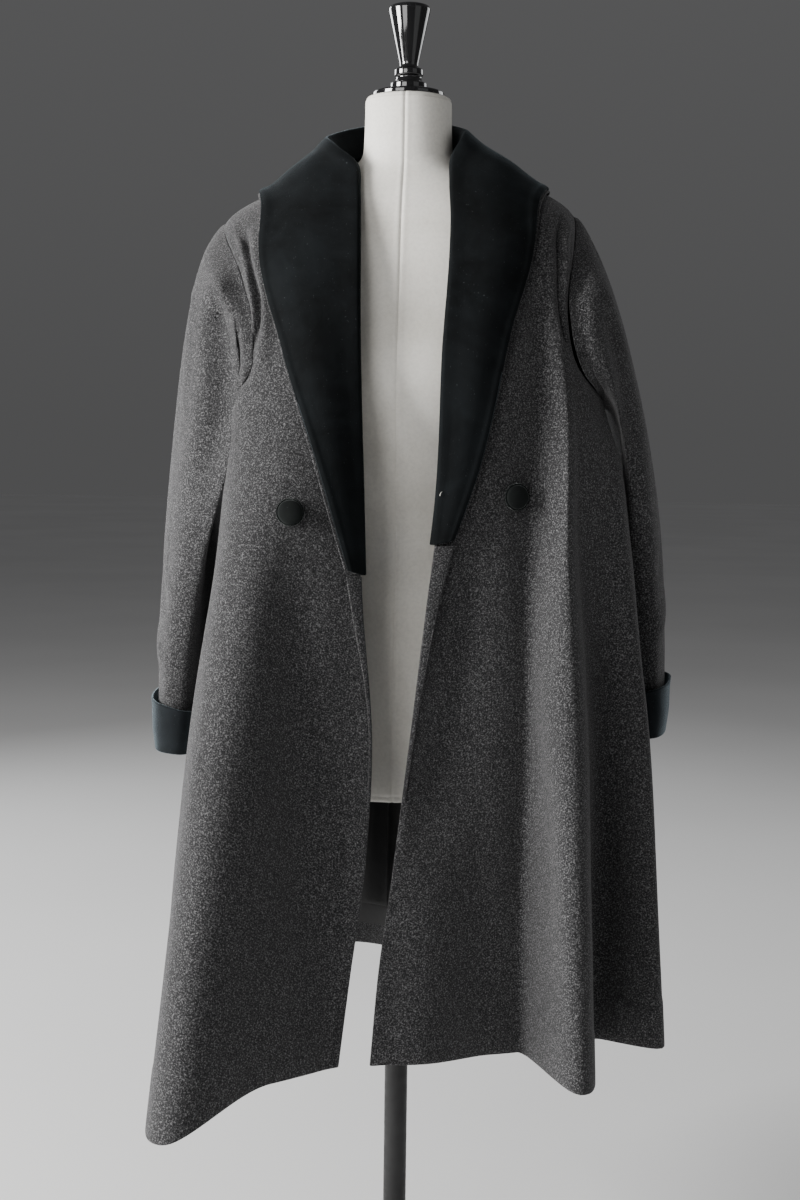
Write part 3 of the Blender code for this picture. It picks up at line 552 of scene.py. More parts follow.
def bodyPoint(angle, drop):
    # an ellipse at each drop, tilted between its side and front heights, plus each flute's cosine bump
    angle, drop = np.broadcast_arrays(np.asarray(angle, float), np.asarray(drop, float))
    sine, cosine = np.sin(np.radians(angle)), np.cos(np.radians(angle))
    front = cosine > 0
    depth = np.where(front, ringAt("depthFront", drop), ringAt("depthBack", drop))
    sideZ = ringAt("sideZ", drop)
    level = np.where(front, ringAt("frontZ", drop), ringAt("backZ", drop))
    x = ringAt("shift", drop) + ringAt("halfWidth", drop) * sine
    y = -depth * cosine
    z = sideZ + (level - sideZ) * cosine ** 2 + coat["shoulderTilt"] * x * (1 - drop) ** 2
    for row in coat["folds"]:
        fold = dict(zip(coat["foldNames"], row))
        crest = fold["crestTop"] + (fold["crestHem"] - fold["crestTop"]) * drop
        away = (angle - crest + 180) % 360 - 180
        if fold["crestHem"] < 0:
            away = -away
        reach = np.where(away < 0, fold["reachFront"], fold["reachBack"])
        bump = 0.5 + 0.5 * np.cos(np.pi * np.clip(np.abs(away) / reach, 0, 1) ** coat["crestRoundness"])
        down = np.clip((drop - fold["start"]) / (1 - fold["start"]), 0, 1)
        eased = (1 + coat["foldEase"]) * down ** 2 / (down + coat["foldEase"])
        grown = 1 - (1 - eased) ** (1 / fold["growth"]) if fold["growth"] < 1 else eased ** fold["growth"]
        move = fold["depth"] * bump * grown
        x = x + move * np.sin(np.radians(fold["push"]))
        y = y - move * np.cos(np.radians(fold["push"]))
        z = z - fold["sag"] * bump * grown * drop
    return np.stack([x, y, z], axis=-1)


def bodyNormal(angle, drop):
    # outwards: the cross product of a short step down and one across
    across = bodyPoint(angle + 0.05, drop) - bodyPoint(angle - 0.05, drop)
    down = bodyPoint(angle, np.clip(drop + 0.0005, 0, 1)) - bodyPoint(angle, np.clip(drop - 0.0005, 0, 1))
    return unit(np.cross(down, across))


def edgeAngle(side, drop):
    # the angle at which a ring meets the front edge, whose x is drawn in the table
    away = smoothCurve(drop, edges["drop"], edges[side + "X"]) - ringAt("shift", drop)
    return np.degrees(np.arcsin(away / ringAt("halfWidth", drop)))


def armholeAngle(face, drop):
    # the armhole's drawn curve; below and above it the side seam, where front and back lap a little
    inside = (drop > coat["tipDrop"]) & (drop < coat["underarmDrop"])
    lap = np.where(inside, 0, np.degrees(coat["seamLap"] / 2 / ringAt("depthFront", drop)))
    curve = np.where(inside, smoothCurve(drop, armhole["drop"], armhole[face]), 90.0)
    return curve - lap if face == "back" else curve + lap


def armholeDrops(rows):
    # rows down the armhole from its tip to the underarm, closer together at both ends
    even = np.linspace(0, 1, rows + 1)
    turn = 0.5 * even + 0.25 - 0.25 * np.cos(even * np.pi)
    return coat["tipDrop"] + (coat["underarmDrop"] - coat["tipDrop"]) * turn


def evenShares(start, end, count):
    # shares of the way from one angle to the other that lie evenly along the hem
    fine = np.linspace(0, 1, 400)
    hem = bodyPoint(start + (end - start) * fine, np.ones(400))
    length = np.concatenate(([0], np.cumsum(np.linalg.norm(np.diff(hem, axis=0), axis=1))))
    return np.interp(np.linspace(0, length[-1], count), length, fine)


panels = {
    "frontColumns": 110, "backColumns": 150, "yokeRows": 26, "armholeRows": 46, "skirtRows": 110,
    "bendLimit": 0.25, "sideFrom": 60, "seamDip": 0.0019, "seamReach": 0.0075, "edgeFade": 0.02,
    "edgeRidge": 0.0007, "edgeRidgeAt": 0.006, "edgeRidgeWidth": 0.005,
    "hemFold": 0.952, "hemSoftness": 0.004, "hemRaise": 0.0008,
    "unevenness": 0.0011, "waveTurn": 11.0, "waveDrop": 13.0, "seeds": {"left": 3, "right": 5, "back": 8},
    "facingWidth": 0.085, "hemRows": 6,
}


def panelAngles(name):
    # every row runs from one edge's angle to the other's; beside an armhole its columns are squeezed together
    drop = np.concatenate([np.linspace(0, coat["tipDrop"], panels["yokeRows"] + 1)[:-1],
                           armholeDrops(panels["armholeRows"])[:-1],
                           np.linspace(coat["underarmDrop"], 1, panels["skirtRows"] + 1)])[:, None]
    if name == "back":
        start, end, full = armholeAngle("back", drop), 360 - armholeAngle("back", drop), 270.0
        share = evenShares(90.0, full, panels["backColumns"])
    else:
        start, full = edgeAngle(name, drop), sideSign[name] * 90.0
        end = sideSign[name] * armholeAngle("front" + sideName[name], drop)
        share = evenShares(float(start[-1, 0]), float(end[-1, 0]), panels["frontColumns"])
    begin = np.where(start > panels["sideFrom"], 90.0, start)  # a start near the side is drawn from the seam
    span, narrowing = full - begin, end - full
    bent = np.sign(narrowing) * np.minimum(np.abs(narrowing), panels["bendLimit"] * np.abs(span))
    angle = begin + (span + narrowing - bent) * share[None, :] + bent * share[None, :] ** 3
    angle = angle + (start - begin) * (1 - share[None, :]) ** 2
    return angle, np.repeat(drop, len(share), axis=1)


# folds pressed or dragged into the panels: height above the cloth (a trough is negative), half
# width, share of the line over which it fades, and its line as (angle, drop) points
bodyFolds = {
    "left": (
        (-0.0075, 0.0042, 0.16, ((-68.0, 0.137), (-53.8, 0.152), (-44.5, 0.198), (-43.2, 0.225),
                                 (-45.4, 0.290))),
        (0.0034, 0.0040, 0.20, ((-66.0, 0.146), (-52.0, 0.166), (-46.8, 0.205), (-45.6, 0.245),
                                (-46.4, 0.280))),
        (0.0046, 0.0080, 0.30, ((-60.0, 0.128), (-47.0, 0.150), (-40.5, 0.200), (-40.0, 0.260),
                                (-42.0, 0.330))),
        (-0.0140, 0.0360, 0.30, ((-27.0, 0.440), (-21.0, 0.565), (-17.5, 0.700), (-15.5, 0.810),
                                 (-13.5, 0.995))),
        (0.0040, 0.0220, 0.40, ((-52.0, 0.480), (-55.0, 0.640), (-56.0, 0.820), (-56.0, 0.990))),
        (0.0016, 0.0100, 0.45, ((-58.0, 0.095), (-48.0, 0.165), (-37.0, 0.235))),
        (-0.0034, 0.0140, 0.35, ((-66.0, 0.500), (-63.0, 0.700), (-64.0, 0.900), (-62.0, 0.995)))),
    "right": (
        (-0.0068, 0.0045, 0.20, ((73.0, 0.140), (62.0, 0.168), (59.5, 0.210), (60.5, 0.255), (64.0, 0.310))),
        (0.0034, 0.0045, 0.25, ((77.0, 0.150), (66.0, 0.172), (63.5, 0.215), (64.0, 0.265))),
        (0.0042, 0.0110, 0.40, ((60.0, 0.130), (54.0, 0.190), (54.0, 0.280), (56.0, 0.360))),
        (-0.0100, 0.0340, 0.35, ((27.0, 0.410), (23.0, 0.520), (20.5, 0.590), (17.0, 0.680), (12.5, 0.770),
                                 (9.0, 0.860))),
        (-0.0075, 0.0360, 0.40, ((62.0, 0.170), (59.0, 0.280), (56.0, 0.400), (54.0, 0.500), (53.0, 0.620))),
        (0.0060, 0.0300, 0.35, ((48.0, 0.560), (49.0, 0.640), (51.0, 0.760), (53.0, 0.880), (55.0, 0.990))),
        (-0.0028, 0.0150, 0.40, ((40.0, 0.330), (43.0, 0.480), (42.0, 0.640))),
        (0.0085, 0.0320, 0.40, ((82.0, 0.370), (84.0, 0.440), (86.0, 0.540), (86.0, 0.640))),
        (-0.0022, 0.0120, 0.45, ((24.0, 0.560), (12.0, 0.600), (8.0, 0.640)))),
    "back": (
        (-0.0040, 0.0180, 0.35, ((98.0, 0.420), (101.0, 0.640), (99.0, 0.820), (102.0, 0.995))),
        (0.0030, 0.0160, 0.40, ((110.0, 0.300), (108.0, 0.420), (111.0, 0.560))),
        (-0.0046, 0.0200, 0.35, ((138.0, 0.380), (141.0, 0.600), (139.0, 0.800), (142.0, 0.995))),
        (0.0034, 0.0170, 0.40, ((149.0, 0.220), (152.0, 0.330), (150.0, 0.460))),
        (-0.0030, 0.0140, 0.45, ((152.0, 0.110), (165.0, 0.160), (182.0, 0.185), (198.0, 0.160))),
        (0.0026, 0.0150, 0.40, ((176.0, 0.340), (181.0, 0.560), (179.0, 0.780), (182.0, 0.995))),
        (-0.0028, 0.0120, 0.45, ((170.0, 0.250), (186.0, 0.275), (204.0, 0.250))),
        (-0.0044, 0.0190, 0.35, ((221.0, 0.350), (224.0, 0.560), (222.0, 0.780), (225.0, 0.995))),
        (0.0030, 0.0140, 0.40, ((214.0, 0.200), (211.0, 0.320), (213.0, 0.450))),
        (-0.0036, 0.0170, 0.35, ((262.0, 0.430), (259.0, 0.640), (262.0, 0.830), (260.0, 0.995)))),
}


def onBody(line):
    return bodyPoint(line[:, 0], line[:, 1])


def panelSurface(name):
    # the coat's form plus the folds, a dip at each sewn edge, a raised hem allowance and a slow unevenness
    angle, drop = panelAngles(name)
    points, normals = bodyPoint(angle, drop), bodyNormal(angle, drop)
    relief = foldRelief(points, bodyFolds[name], onBody)
    fromStart = distanceAcross(points)
    fromEnd = fromStart[:, -1:] - fromStart
    sewnEdge = fromEnd if name != "back" else np.minimum(fromStart, fromEnd)
    relief -= panels["seamDip"] * np.exp(-(sewnEdge / panels["seamReach"]) ** 2)
    if name != "back":
        relief *= softStep(0.0, panels["edgeFade"], fromStart)
        fromRidge = (fromStart - panels["edgeRidgeAt"]) / panels["edgeRidgeWidth"]
        relief += panels["edgeRidge"] * np.exp(-fromRidge ** 2)
    hem, soft = panels["hemFold"], panels["hemSoftness"]
    relief += panels["hemRaise"] * softStep(hem - soft, hem + soft, drop)
    slow = wander(angle / panels["waveTurn"], drop * panels["waveDrop"], panels["seeds"][name])
    relief += panels["unevenness"] * slow * softStep(0.0, 0.012, sewnEdge) * softStep(0.0, 0.05, drop)
    moved = points + normals * relief[..., None]
    found = gridNormals(moved)
    return moved, found * np.sign((found * normals).sum(-1, keepdims=True))


def buildPanel(name, node):
    # the inner face is lining, but for the wool facing behind a front edge and the turned-up hem
    points, normals = panelSurface(name)
    facing = panels["facingWidth"] if name != "back" else -1.0
    inside = (distanceAcross(points) > facing).astype(int)
    inside[-panels["hemRows"]:] = 0
    piece = clothPanel(node + "Cloth", points, normals, coat["thickness"], [wool, lining], inside)
    sewn(piece, node)


buildPanel("left", "front_left")
buildPanel("right", "front_right")
buildPanel("back", "back")


backLining = {"top": 0.494, "bottom": 0.944, "sideColumns": 4, "thickness": 0.0009, "gap": 0.0010,
              "slack": 0.0014, "waves": 34, "slackFrom": 0.5, "slackFull": 0.6}


def buildBackLining():
    # the loose lining inside the back, a little wavier than the cloth that it hangs in
    angle, drop = panelAngles("back")
    cloth, clothNormals = panelSurface("back")
    side = backLining["sideColumns"]
    keep = (drop[:, 0] > backLining["top"]) & (drop[:, 0] < backLining["bottom"])
    angle, drop = angle[keep, side:-side], drop[keep, side:-side]
    points, normals = cloth[keep, side:-side], clothNormals[keep, side:-side]
    wave = (1 - np.cos(np.radians(angle) * backLining["waves"])) / 2
    slack = backLining["slack"] * wave * softStep(backLining["slackFrom"], backLining["slackFull"], drop)
    points = points - normals * (coat["thickness"] + backLining["gap"] + slack)[..., None]
    piece = clothPanel("backLiningCloth", points, normals, backLining["thickness"], [lining])
    sewn(piece, "back_lining")


buildBackLining()
print("panels made")


sleeves = {
    "names": ("outerLeft", "outerRight", "outerZ", "inner", "innerZ", "middle", "halfDepth", "fore", "seat",
              "wrap"),
    "rows": (
        (0.221, 0.203, 1.334, 0.215, 1.143, 0.000, 0.090, 0.008, 0.80, 0.000),
        (0.237, 0.222, 1.303, 0.223, 1.130, 0.002, 0.096, 0.020, 0.50, 0.024),
        (0.251, 0.241, 1.258, 0.229, 1.100, 0.004, 0.098, 0.034, 0.25, 0.050),
        (0.262, 0.260, 1.195, 0.233, 1.055, 0.006, 0.097, 0.047, 0.08, 0.065),
        (0.272, 0.281, 1.110, 0.234, 1.000, 0.008, 0.094, 0.044, 0.00, 0.054),
        (0.282, 0.300, 1.000, 0.232, 0.930, 0.010, 0.090, 0.026, 0.00, 0.030),
        (0.288, 0.310, 0.890, 0.234, 0.850, 0.012, 0.086, 0.012, 0.00, 0.014),
        (0.289, 0.312, 0.790, 0.238, 0.780, 0.014, 0.082, 0.005, 0.00, 0.006),
        (0.289, 0.312, 0.732, 0.239, 0.726, 0.016, 0.080, 0.002, 0.00, 0.000)),
    "wrapShare": {"left": 1.0, "right": 0.0}, "rise": {"left": 0.000, "right": 0.026},
    "spread": {"left": 0.000, "right": 0.020}, "close": {"left": 0.010, "right": 0.030},
    "backward": {"left": 0.000, "right": 0.036}, "spreadStart": 0.25, "soon": 3, "backwardSoon": 2.2,
    "headStep": 0.006, "headRise": 0.003, "headLift": 0.005, "headFade": 4, "bluntness": 0.62,
    "foreSharpness": 1.5, "wrapSharpness": 2.2,
    "rings": 16, "armholeRows": 9, "fineRows": 170, "fineColumns": 132, "thickness": 0.0018, "hemRows": 4,
    "seamDip": 0.0012, "seamReach": 0.012, "unevenness": 0.0014, "waveTurn": 4.0, "waveRows": (3, 11),
    "seeds": {"left": 21, "right": 34},
}
sleeveTable = columnsOf(sleeves["names"], sleeves["rows"])
# height, half width, fade, and the line as (turn in degrees from the outer line over the front, ring)
sleeveFolds = {
    "left": (
        (-0.0015, 0.0018, 0.04, ((6, 1.8), (20, 3.8), (24, 6.1), (28, 7.8), (36, 8.9), (50, 10.6), (54, 11.8),
                                 (56, 15.9))),
        (-0.0030, 0.0160, 0.34, ((44, 3.0), (52, 4.4), (58, 5.8), (63, 7.2), (68, 9.0))),
        (0.0030, 0.0100, 0.35, ((18, 2.8), (24, 4.6), (31, 6.8), (42, 9.0))),
        (-0.0040, 0.0110, 0.40, ((20, 11.0), (42, 11.7), (70, 12.1))),
        (0.0030, 0.0120, 0.40, ((16, 12.2), (44, 12.9), (74, 13.1))),
        (-0.0070, 0.0150, 0.35, ((318, 2.2), (300, 4.4), (288, 7.0), (276, 9.6))),
        (0.0040, 0.0140, 0.40, ((336, 3.0), (322, 5.6), (314, 8.6))),
        (-0.0040, 0.0120, 0.40, ((330, 10.4), (300, 11.2), (270, 11.0))),
        (-0.0034, 0.0110, 0.40, ((250, 2.6), (226, 3.8), (206, 4.4)))),
    "right": (
        (-0.0014, 0.0018, 0.04, ((16, 1.6), (24, 2.6), (28, 4.1), (38, 5.6), (40, 7.8), (44, 9.4), (54, 10.8),
                                 (56, 15.9))),
        (-0.0050, 0.0150, 0.35, ((66, 3.0), (74, 5.0), (84, 7.0), (92, 9.4))),
        (0.0036, 0.0120, 0.35, ((48, 2.4), (58, 4.4), (66, 7.2))),
        (-0.0036, 0.0110, 0.40, ((14, 10.4), (40, 11.3), (70, 11.6))),
        (0.0028, 0.0120, 0.40, ((18, 11.6), (46, 12.4), (76, 12.7))),
        (-0.0064, 0.0150, 0.35, ((322, 2.2), (304, 4.6), (290, 7.2), (280, 9.8))),
        (0.0036, 0.0140, 0.40, ((338, 3.2), (324, 5.8), (316, 8.4))),
        (-0.0036, 0.0110, 0.40, ((328, 11.0), (298, 11.6), (268, 11.2))),
        (-0.0030, 0.0110, 0.40, ((246, 2.8), (224, 4.0), (204, 4.6)))),
}


# the hollow that a hanging sleeve makes in front of its armhole, pressed back as a whole: how far, half
# width, share of the line over which it fades, its way in (x, y), and its line as (turn, ring) points
sleevePresses = {
    "left": (0.023, 0.027, 0.32, (0.20, 1.0), ((46, 2.2), (58, 3.6), (68, 5.0), (76, 6.5), (80, 8.4),
                                               (80, 10.6))),
    "right": (0.007, 0.022, 0.35, (-0.20, 1.0), ((60, 2.2), (72, 4.4), (82, 6.8), (88, 9.0))),
}


def sleeveRings(side):
    # rings from the armhole to the wrist: blunt ovals that start out with the armhole's own shape
    sign = sideSign[side]
    hole = armholeDrops(sleeves["armholeRows"])
    front = smoothCurve(hole, armhole["drop"], armhole["front" + sideName[side]])
    back = smoothCurve(hole, armhole["drop"], armhole["back"])
    angle = sign * np.concatenate([front, back[-2:0:-1]])
    drop = np.concatenate([hole, hole[-2:0:-1]])
    loop, loopNormals = bodyPoint(angle, drop), bodyNormal(angle, drop)
    turn = 2 * np.pi * np.arange(len(loop)) / len(loop)
    inward = unit(np.cross(loopNormals, np.roll(loop, -1, axis=0) - np.roll(loop, 1, axis=0))) * sign
    first = loop - inward * coat["seamLap"]
    tip, underarm = loop[0], loop[len(loop) // 2]
    blunt = (np.sign(np.cos(turn)) * np.abs(np.cos(turn)) ** sleeves["bluntness"])[:, None]
    oval = (tip + underarm) / 2 + blunt * (tip - underarm) / 2
    oval[:, 1] -= sleeveTable["halfDepth"][0] * np.sin(turn)
    shape = first - oval
    found = [first, first + inward * sleeves["headStep"] + loopNormals * sleeves["headRise"]]
    fine = np.linspace(0, len(sleeveTable["seat"]) - 1, sleeves["rings"])
    knots = np.arange(len(sleeveTable["seat"]), dtype=float)
    size = {name: smoothCurve(fine, knots, sleeveTable[name]) for name in sleeves["names"]}
    ahead, behind = np.clip(np.sin(turn), 0, 1), np.clip(-np.sin(turn), 0, 1)
    wrapShare, soon = sleeves["wrapShare"][side], sleeves["soon"]
    for k in range(1, len(fine)):
        down = fine[k] / fine[-1]
        rise = sleeves["rise"][side] * down
        spread = sleeves["spread"][side] * min(1.0, sleeves["spreadStart"] + down * soon)
        outer = np.array([sign * size["outer" + sideName[side]][k], 0, size["outerZ"][k] + rise])
        inner = np.array([sign * (size["inner"][k] + spread), 0, size["innerZ"][k] + rise])
        points = (outer + inner) / 2 + blunt * (outer - inner) / 2
        middle = size["middle"][k] + sleeves["backward"][side] * min(1.0, down * sleeves["backwardSoon"])
        fore = size["fore"][k] * wrapShare * ahead ** sleeves["foreSharpness"]
        points[:, 1] += middle - size["halfDepth"][k] * np.sin(turn) - fore
        points[:, 0] -= sign * size["wrap"][k] * wrapShare * ahead ** sleeves["wrapSharpness"]
        closing = sleeves["close"][side] * min(1.0, down * soon)
        points[:, 0] -= sign * closing * behind ** sleeves["foreSharpness"]
        lift = sleeves["headLift"] * max(0.0, 1 - down * sleeves["headFade"])
        found.append(points + shape * size["seat"][k] + loopNormals * lift)
    return np.array(found)


def sleeveSurface(side):
    # the rings made fine, with the hollow pressed back, the folds, a slow unevenness and the sewn head's dip
    ringsFound = sleeveRings(side)
    gaps = np.linalg.norm(np.diff(ringsFound, axis=0), axis=-1).mean(axis=1)
    ringPlace = np.concatenate(([0], np.cumsum(gaps)))
    fine = finerColumns(finerRows(ringsFound, sleeves["fineRows"]), sleeves["fineColumns"], True)

    def onSleeve(line):
        row = np.interp(line[:, 1], np.arange(len(ringPlace)), ringPlace) / ringPlace[-1] * (len(fine) - 1)
        column = (line[:, 0] / 360 % 1) * fine.shape[1]
        return fine[np.round(row).astype(int), np.round(column).astype(int) % fine.shape[1]]

    row = np.linspace(0, 1, len(fine))[:, None]
    far, halfWidth, fade, way, line = sleevePresses[side]
    pressed = foldRelief(fine, ((far, halfWidth, fade, line),), onSleeve) * softStep(0.0, 0.06, row)
    fine = fine + unit(np.array([*way, 0.0])) * pressed[..., None]
    normals = gridNormals(fine, True) * -sideSign[side]
    relief = foldRelief(fine, sleeveFolds[side], onSleeve)
    turn, (across, along) = fullTurn(fine.shape[1]), sleeves["waveRows"]
    slow = wander(sleeves["waveTurn"] * np.cos(turn) + row * across,
                  sleeves["waveTurn"] * np.sin(turn) + row * along, sleeves["seeds"][side])
    relief += sleeves["unevenness"] * slow * softStep(0.02, 0.12, row)
    relief *= softStep(0.0, 0.05, row)
    relief -= sleeves["seamDip"] * np.exp(-(row / sleeves["seamReach"]) ** 2)
    moved = fine + normals * relief[..., None]
    return moved, gridNormals(moved, True) * -sideSign[side]


def buildSleeve(side):
    points, normals = sleeveSurface(side)
    piece = clothTube("sleeve" + sideName[side] + "Cloth", points, normals, sleeves["thickness"],
                      [wool, lining], liningFrom=sleeves["hemRows"])
    sewn(piece, "sleeve_" + side)


buildSleeve("left")
buildSleeve("right")
print("sleeves made")


cuffs = {
    "height": 0.057, "flare": (0.0042, 0.0024, 0.0017, 0.0002), "thickness": 0.0030, "fineRows": 34,
    "wave": 0.0009, "belly": 0.0011, "joinTurn": 4.1, "joinWidth": 0.022, "joinDepth": 0.0016,
    "seeds": {"left": 55, "right": 62},
}


def buildCuff(side):
    # the turned-back band, from the sleeve's last rings moved out and flared at its top edge, with its join
    found = sleeveRings(side)
    normals = gridNormals(found, True) * -sideSign[side]
    last, before = found[-1], found[-4]
    length = np.linalg.norm(last - before, axis=1).mean()
    share = 1 - cuffs["height"] / length * np.linspace(1, 0, 4)[:, None, None]
    flare = (np.array(cuffs["flare"]) + coat["seamGap"])[:, None, None]
    inner = before + (last - before) * share + normals[-2][None] * flare
    fine = finerColumns(finerRows(inner, cuffs["fineRows"]), sleeves["fineColumns"], True)
    fineNormals = gridNormals(fine, True) * -sideSign[side]
    row, turn = np.linspace(0, 1, len(fine))[:, None], fullTurn(fine.shape[1])
    slow = wander(3 * np.cos(turn) + row, 3 * np.sin(turn) + row * 3, cuffs["seeds"][side])
    lift = cuffs["wave"] * (slow + 1) * (1 - row) + cuffs["belly"] * np.sin(np.pi * row) ** 2
    lift -= cuffs["joinDepth"] * np.exp(-((turn - cuffs["joinTurn"]) / cuffs["joinWidth"]) ** 2)
    outer = fine + fineNormals * (cuffs["thickness"] + lift)[..., None]
    outerNormals = gridNormals(outer, True) * -sideSign[side]
    name = "cuff" + sideName[side] + "Velvet"
    # the cuff takes the velvet that is painted lighter: painted light
    piece = clothTube(name, outer, outerNormals, cuffs["thickness"], [paintedLitVelvet])
    sewn(piece, "cuff_" + side)


buildCuff("left")
buildCuff("right")


collar = {
    "lift": 0.0078, "rollRadius": 0.0055, "cornerAlong": 0.60, "sideSpokes": 21, "fallPoints": 7,
    "thickness": 0.0025, "underThickness": 0.0018, "fineRows": 300, "fineColumns": 66,
    "names": ("along", "rollAngle", "rollDrop", "edgeAngle", "edgeDrop", "stand", "lean"),
    "left": (
        (0.00, None, 0.520, -11.0, 0.516, 0.000, 0.00), (0.10, None, 0.440, -17.5, 0.440, 0.000, 0.00),
        (0.20, None, 0.350, -26.5, 0.340, 0.000, 0.00), (0.30, None, 0.260, -34.5, 0.250, 0.000, 0.00),
        (0.40, None, 0.170, -42.0, 0.172, 0.000, 0.00), (0.50, None, 0.075, -52.0, 0.126, 0.000, 0.00),
        (0.60, None, 0.000, -66.0, 0.103, 0.003, 0.20), (0.65, -56, 0.000, -76.0, 0.098, 0.010, 0.50),
        (0.75, -85, 0.000, -98.0, 0.100, 0.022, 0.50), (0.85, -118, 0.000, -126.0, 0.114, 0.030, 0.35),
        (1.00, -180, 0.000, -180.0, 0.128, 0.035, 0.20)),
    "right": (
        (0.00, None, 0.490, 18.5, 0.486, 0.000, 0.00), (0.10, None, 0.420, 25.0, 0.418, 0.000, 0.00),
        (0.20, None, 0.340, 31.5, 0.332, 0.000, 0.00), (0.30, None, 0.255, 38.5, 0.245, 0.000, 0.00),
        (0.40, None, 0.165, 47.0, 0.172, 0.000, 0.00), (0.50, None, 0.075, 57.0, 0.130, 0.000, 0.00),
        (0.60, None, 0.000, 69.0, 0.112, 0.005, 0.00), (0.65, 72, 0.000, 78.0, 0.108, 0.014, 0.00),
        (0.75, 93, 0.000, 99.0, 0.108, 0.026, 0.00), (0.85, 122, 0.000, 126.0, 0.116, 0.030, 0.12),
        (1.00, 180, 0.000, 180.0, 0.128, 0.035, 0.20)),
    "rollTurns": (-35, -5, 25, 58, 90), "neckRise": 0.0024, "standFade": 1.8, "swell": 0.004,
    "swellShare": 0.05, "unevenness": 0.0013, "seed": 77,
    "edgeRoll": 0.0009, "edgeRollAt": 0.006, "edgeRollWidth": 0.004,
    "underFrom": 5, "underColumns": 40, "underShows": 0.0028,
}


def collarSide(side):
    # spokes from the lapel's end to the back neck: over the roll, then down over the cloth to the edge
    rows = [[float(edgeAngle(side, row[2])) if v is None else v for v in row] for row in collar[side]]
    table = columnsOf(collar["names"], rows)
    along = np.linspace(0, 1, collar["sideSpokes"])
    spoke = {name: smoothCurve(along, table["along"], table[name]) for name in collar["names"]}
    sign = sideSign[side]
    drop = np.clip(spoke["rollDrop"], 0, 1)
    corner = np.isclose(spoke["along"], collar["cornerAlong"])
    angle = np.where(spoke["along"] < collar["cornerAlong"] + 0.01, edgeAngle(side, drop), spoke["rollAngle"])
    seam, normal = bodyPoint(angle, drop), bodyNormal(angle, drop)
    neck = np.where(corner, 0.5, (spoke["along"] > collar["cornerAlong"]) * 1.0)[:, None]
    beyond = unit(np.cross(normal, np.gradient(seam, axis=0))) * sign
    up = np.array([0.0, 0.0, 1.0])
    out = unit(normal * np.array([1.0, 1.0, 0.0]))
    stand = np.clip(spoke["stand"], 0, 1)[:, None] * (up + out * spoke["lean"][:, None])
    radius = collar["rollRadius"]
    rise = up * collar["neckRise"]
    neckPath = (beyond * coat["seamGap"] + rise, rise + stand * 0.5, stand,
                stand + (up + out) * radius * 0.9, stand + out * radius * 2)
    rolled = []
    for turn, path in zip(np.radians(collar["rollTurns"]), neckPath):
        lapel = (beyond * math.cos(turn) + normal * math.sin(turn)) * radius
        rolled.append(seam + lapel * (1 - neck) + path * neck)
    far = bodyPoint(spoke["edgeAngle"], spoke["edgeDrop"])
    width = np.linalg.norm(far - seam, axis=1)[:, None]
    swell = np.minimum(collar["swell"], width * collar["swellShare"])
    startLift = rolled[-1] - (seam + normal * collar["lift"])
    fall = []
    for c in np.linspace(0, 1, collar["fallPoints"] + 1)[1:]:
        fallAngle = angle + (spoke["edgeAngle"] - angle) * c
        fallDrop = drop + (spoke["edgeDrop"] - drop) * c
        lift = bodyNormal(fallAngle, fallDrop) * (collar["lift"] + swell * math.sin(math.pi * c) ** 2)
        fall.append(bodyPoint(fallAngle, fallDrop) + lift + startLift * (1 - c) ** collar["standFade"])
    return np.stack(rolled + fall, axis=1)


def buildCollar():
    # both sides joined at the back neck, made fine and uneven with a rolled edge; the wool underside follows
    left, right = collarSide("left"), collarSide("right")
    face = np.concatenate([left[:-1], ((left[-1] + right[-1]) / 2)[None], right[-2::-1]])
    faceNormals = gridNormals(face)
    if faceNormals[0, -1, 1] > 0:
        faceNormals = -faceNormals
    fine, fineReference = (finerColumns(finerRows(grid, collar["fineRows"]), collar["fineColumns"])
                           for grid in (face, faceNormals))
    normals = gridNormals(fine)
    normals *= np.sign((normals * fineReference).sum(-1).mean())
    along = np.linspace(-1, 1, fine.shape[0])[:, None]
    across = np.linspace(0, 1, fine.shape[1])[None, :]
    width = np.linalg.norm(np.diff(fine, axis=1), axis=-1).sum(axis=1)[:, None]
    fromEdge = (1 - across) * width
    relief = collar["unevenness"] * wander(along * 9, across * 3 + along * 2, collar["seed"])
    relief *= softStep(0.0, 0.25, across) * softStep(0.0, 0.02, fromEdge)
    fromRoll = (fromEdge - collar["edgeRollAt"]) / collar["edgeRollWidth"]
    relief += collar["edgeRoll"] * np.exp(-fromRoll ** 2) * softStep(0.2, 0.5, across)
    moved = fine + normals * relief[..., None]
    movedNormals = gridNormals(moved)
    movedNormals *= np.sign((movedNormals * normals).sum(-1).mean())
    piece = clothPanel("collarVelvet", moved, movedNormals, collar["thickness"], [velvet])
    sewn(piece, "collar")
    first = collar["underFrom"]
    under = face[:, first:] - faceNormals[:, first:] * (collar["thickness"] + coat["seamGap"])
    edge = unit(under[:, -1] - under[:, -2])
    under = np.concatenate([under, (under[:, -1] + edge * collar["underShows"])[:, None]], axis=1)
    fineUnder = finerColumns(finerRows(under, collar["fineRows"]), collar["underColumns"])
    underNormals = gridNormals(fineUnder)
    underNormals *= np.sign((underNormals[0, -1] * movedNormals[0, -1]).sum())
    below = clothPanel("collarWoolUnder", fineUnder, underNormals, collar["underThickness"], [wool])
    sewn(below, "undercollar")
    return moved


collarCloth = buildCollar()


threadLoop = {"row": 287, "columns": (12, 14), "height": 0.0022, "radius": 0.00032, "steps": 24, "turns": 10,
              "overrun": 0.12}


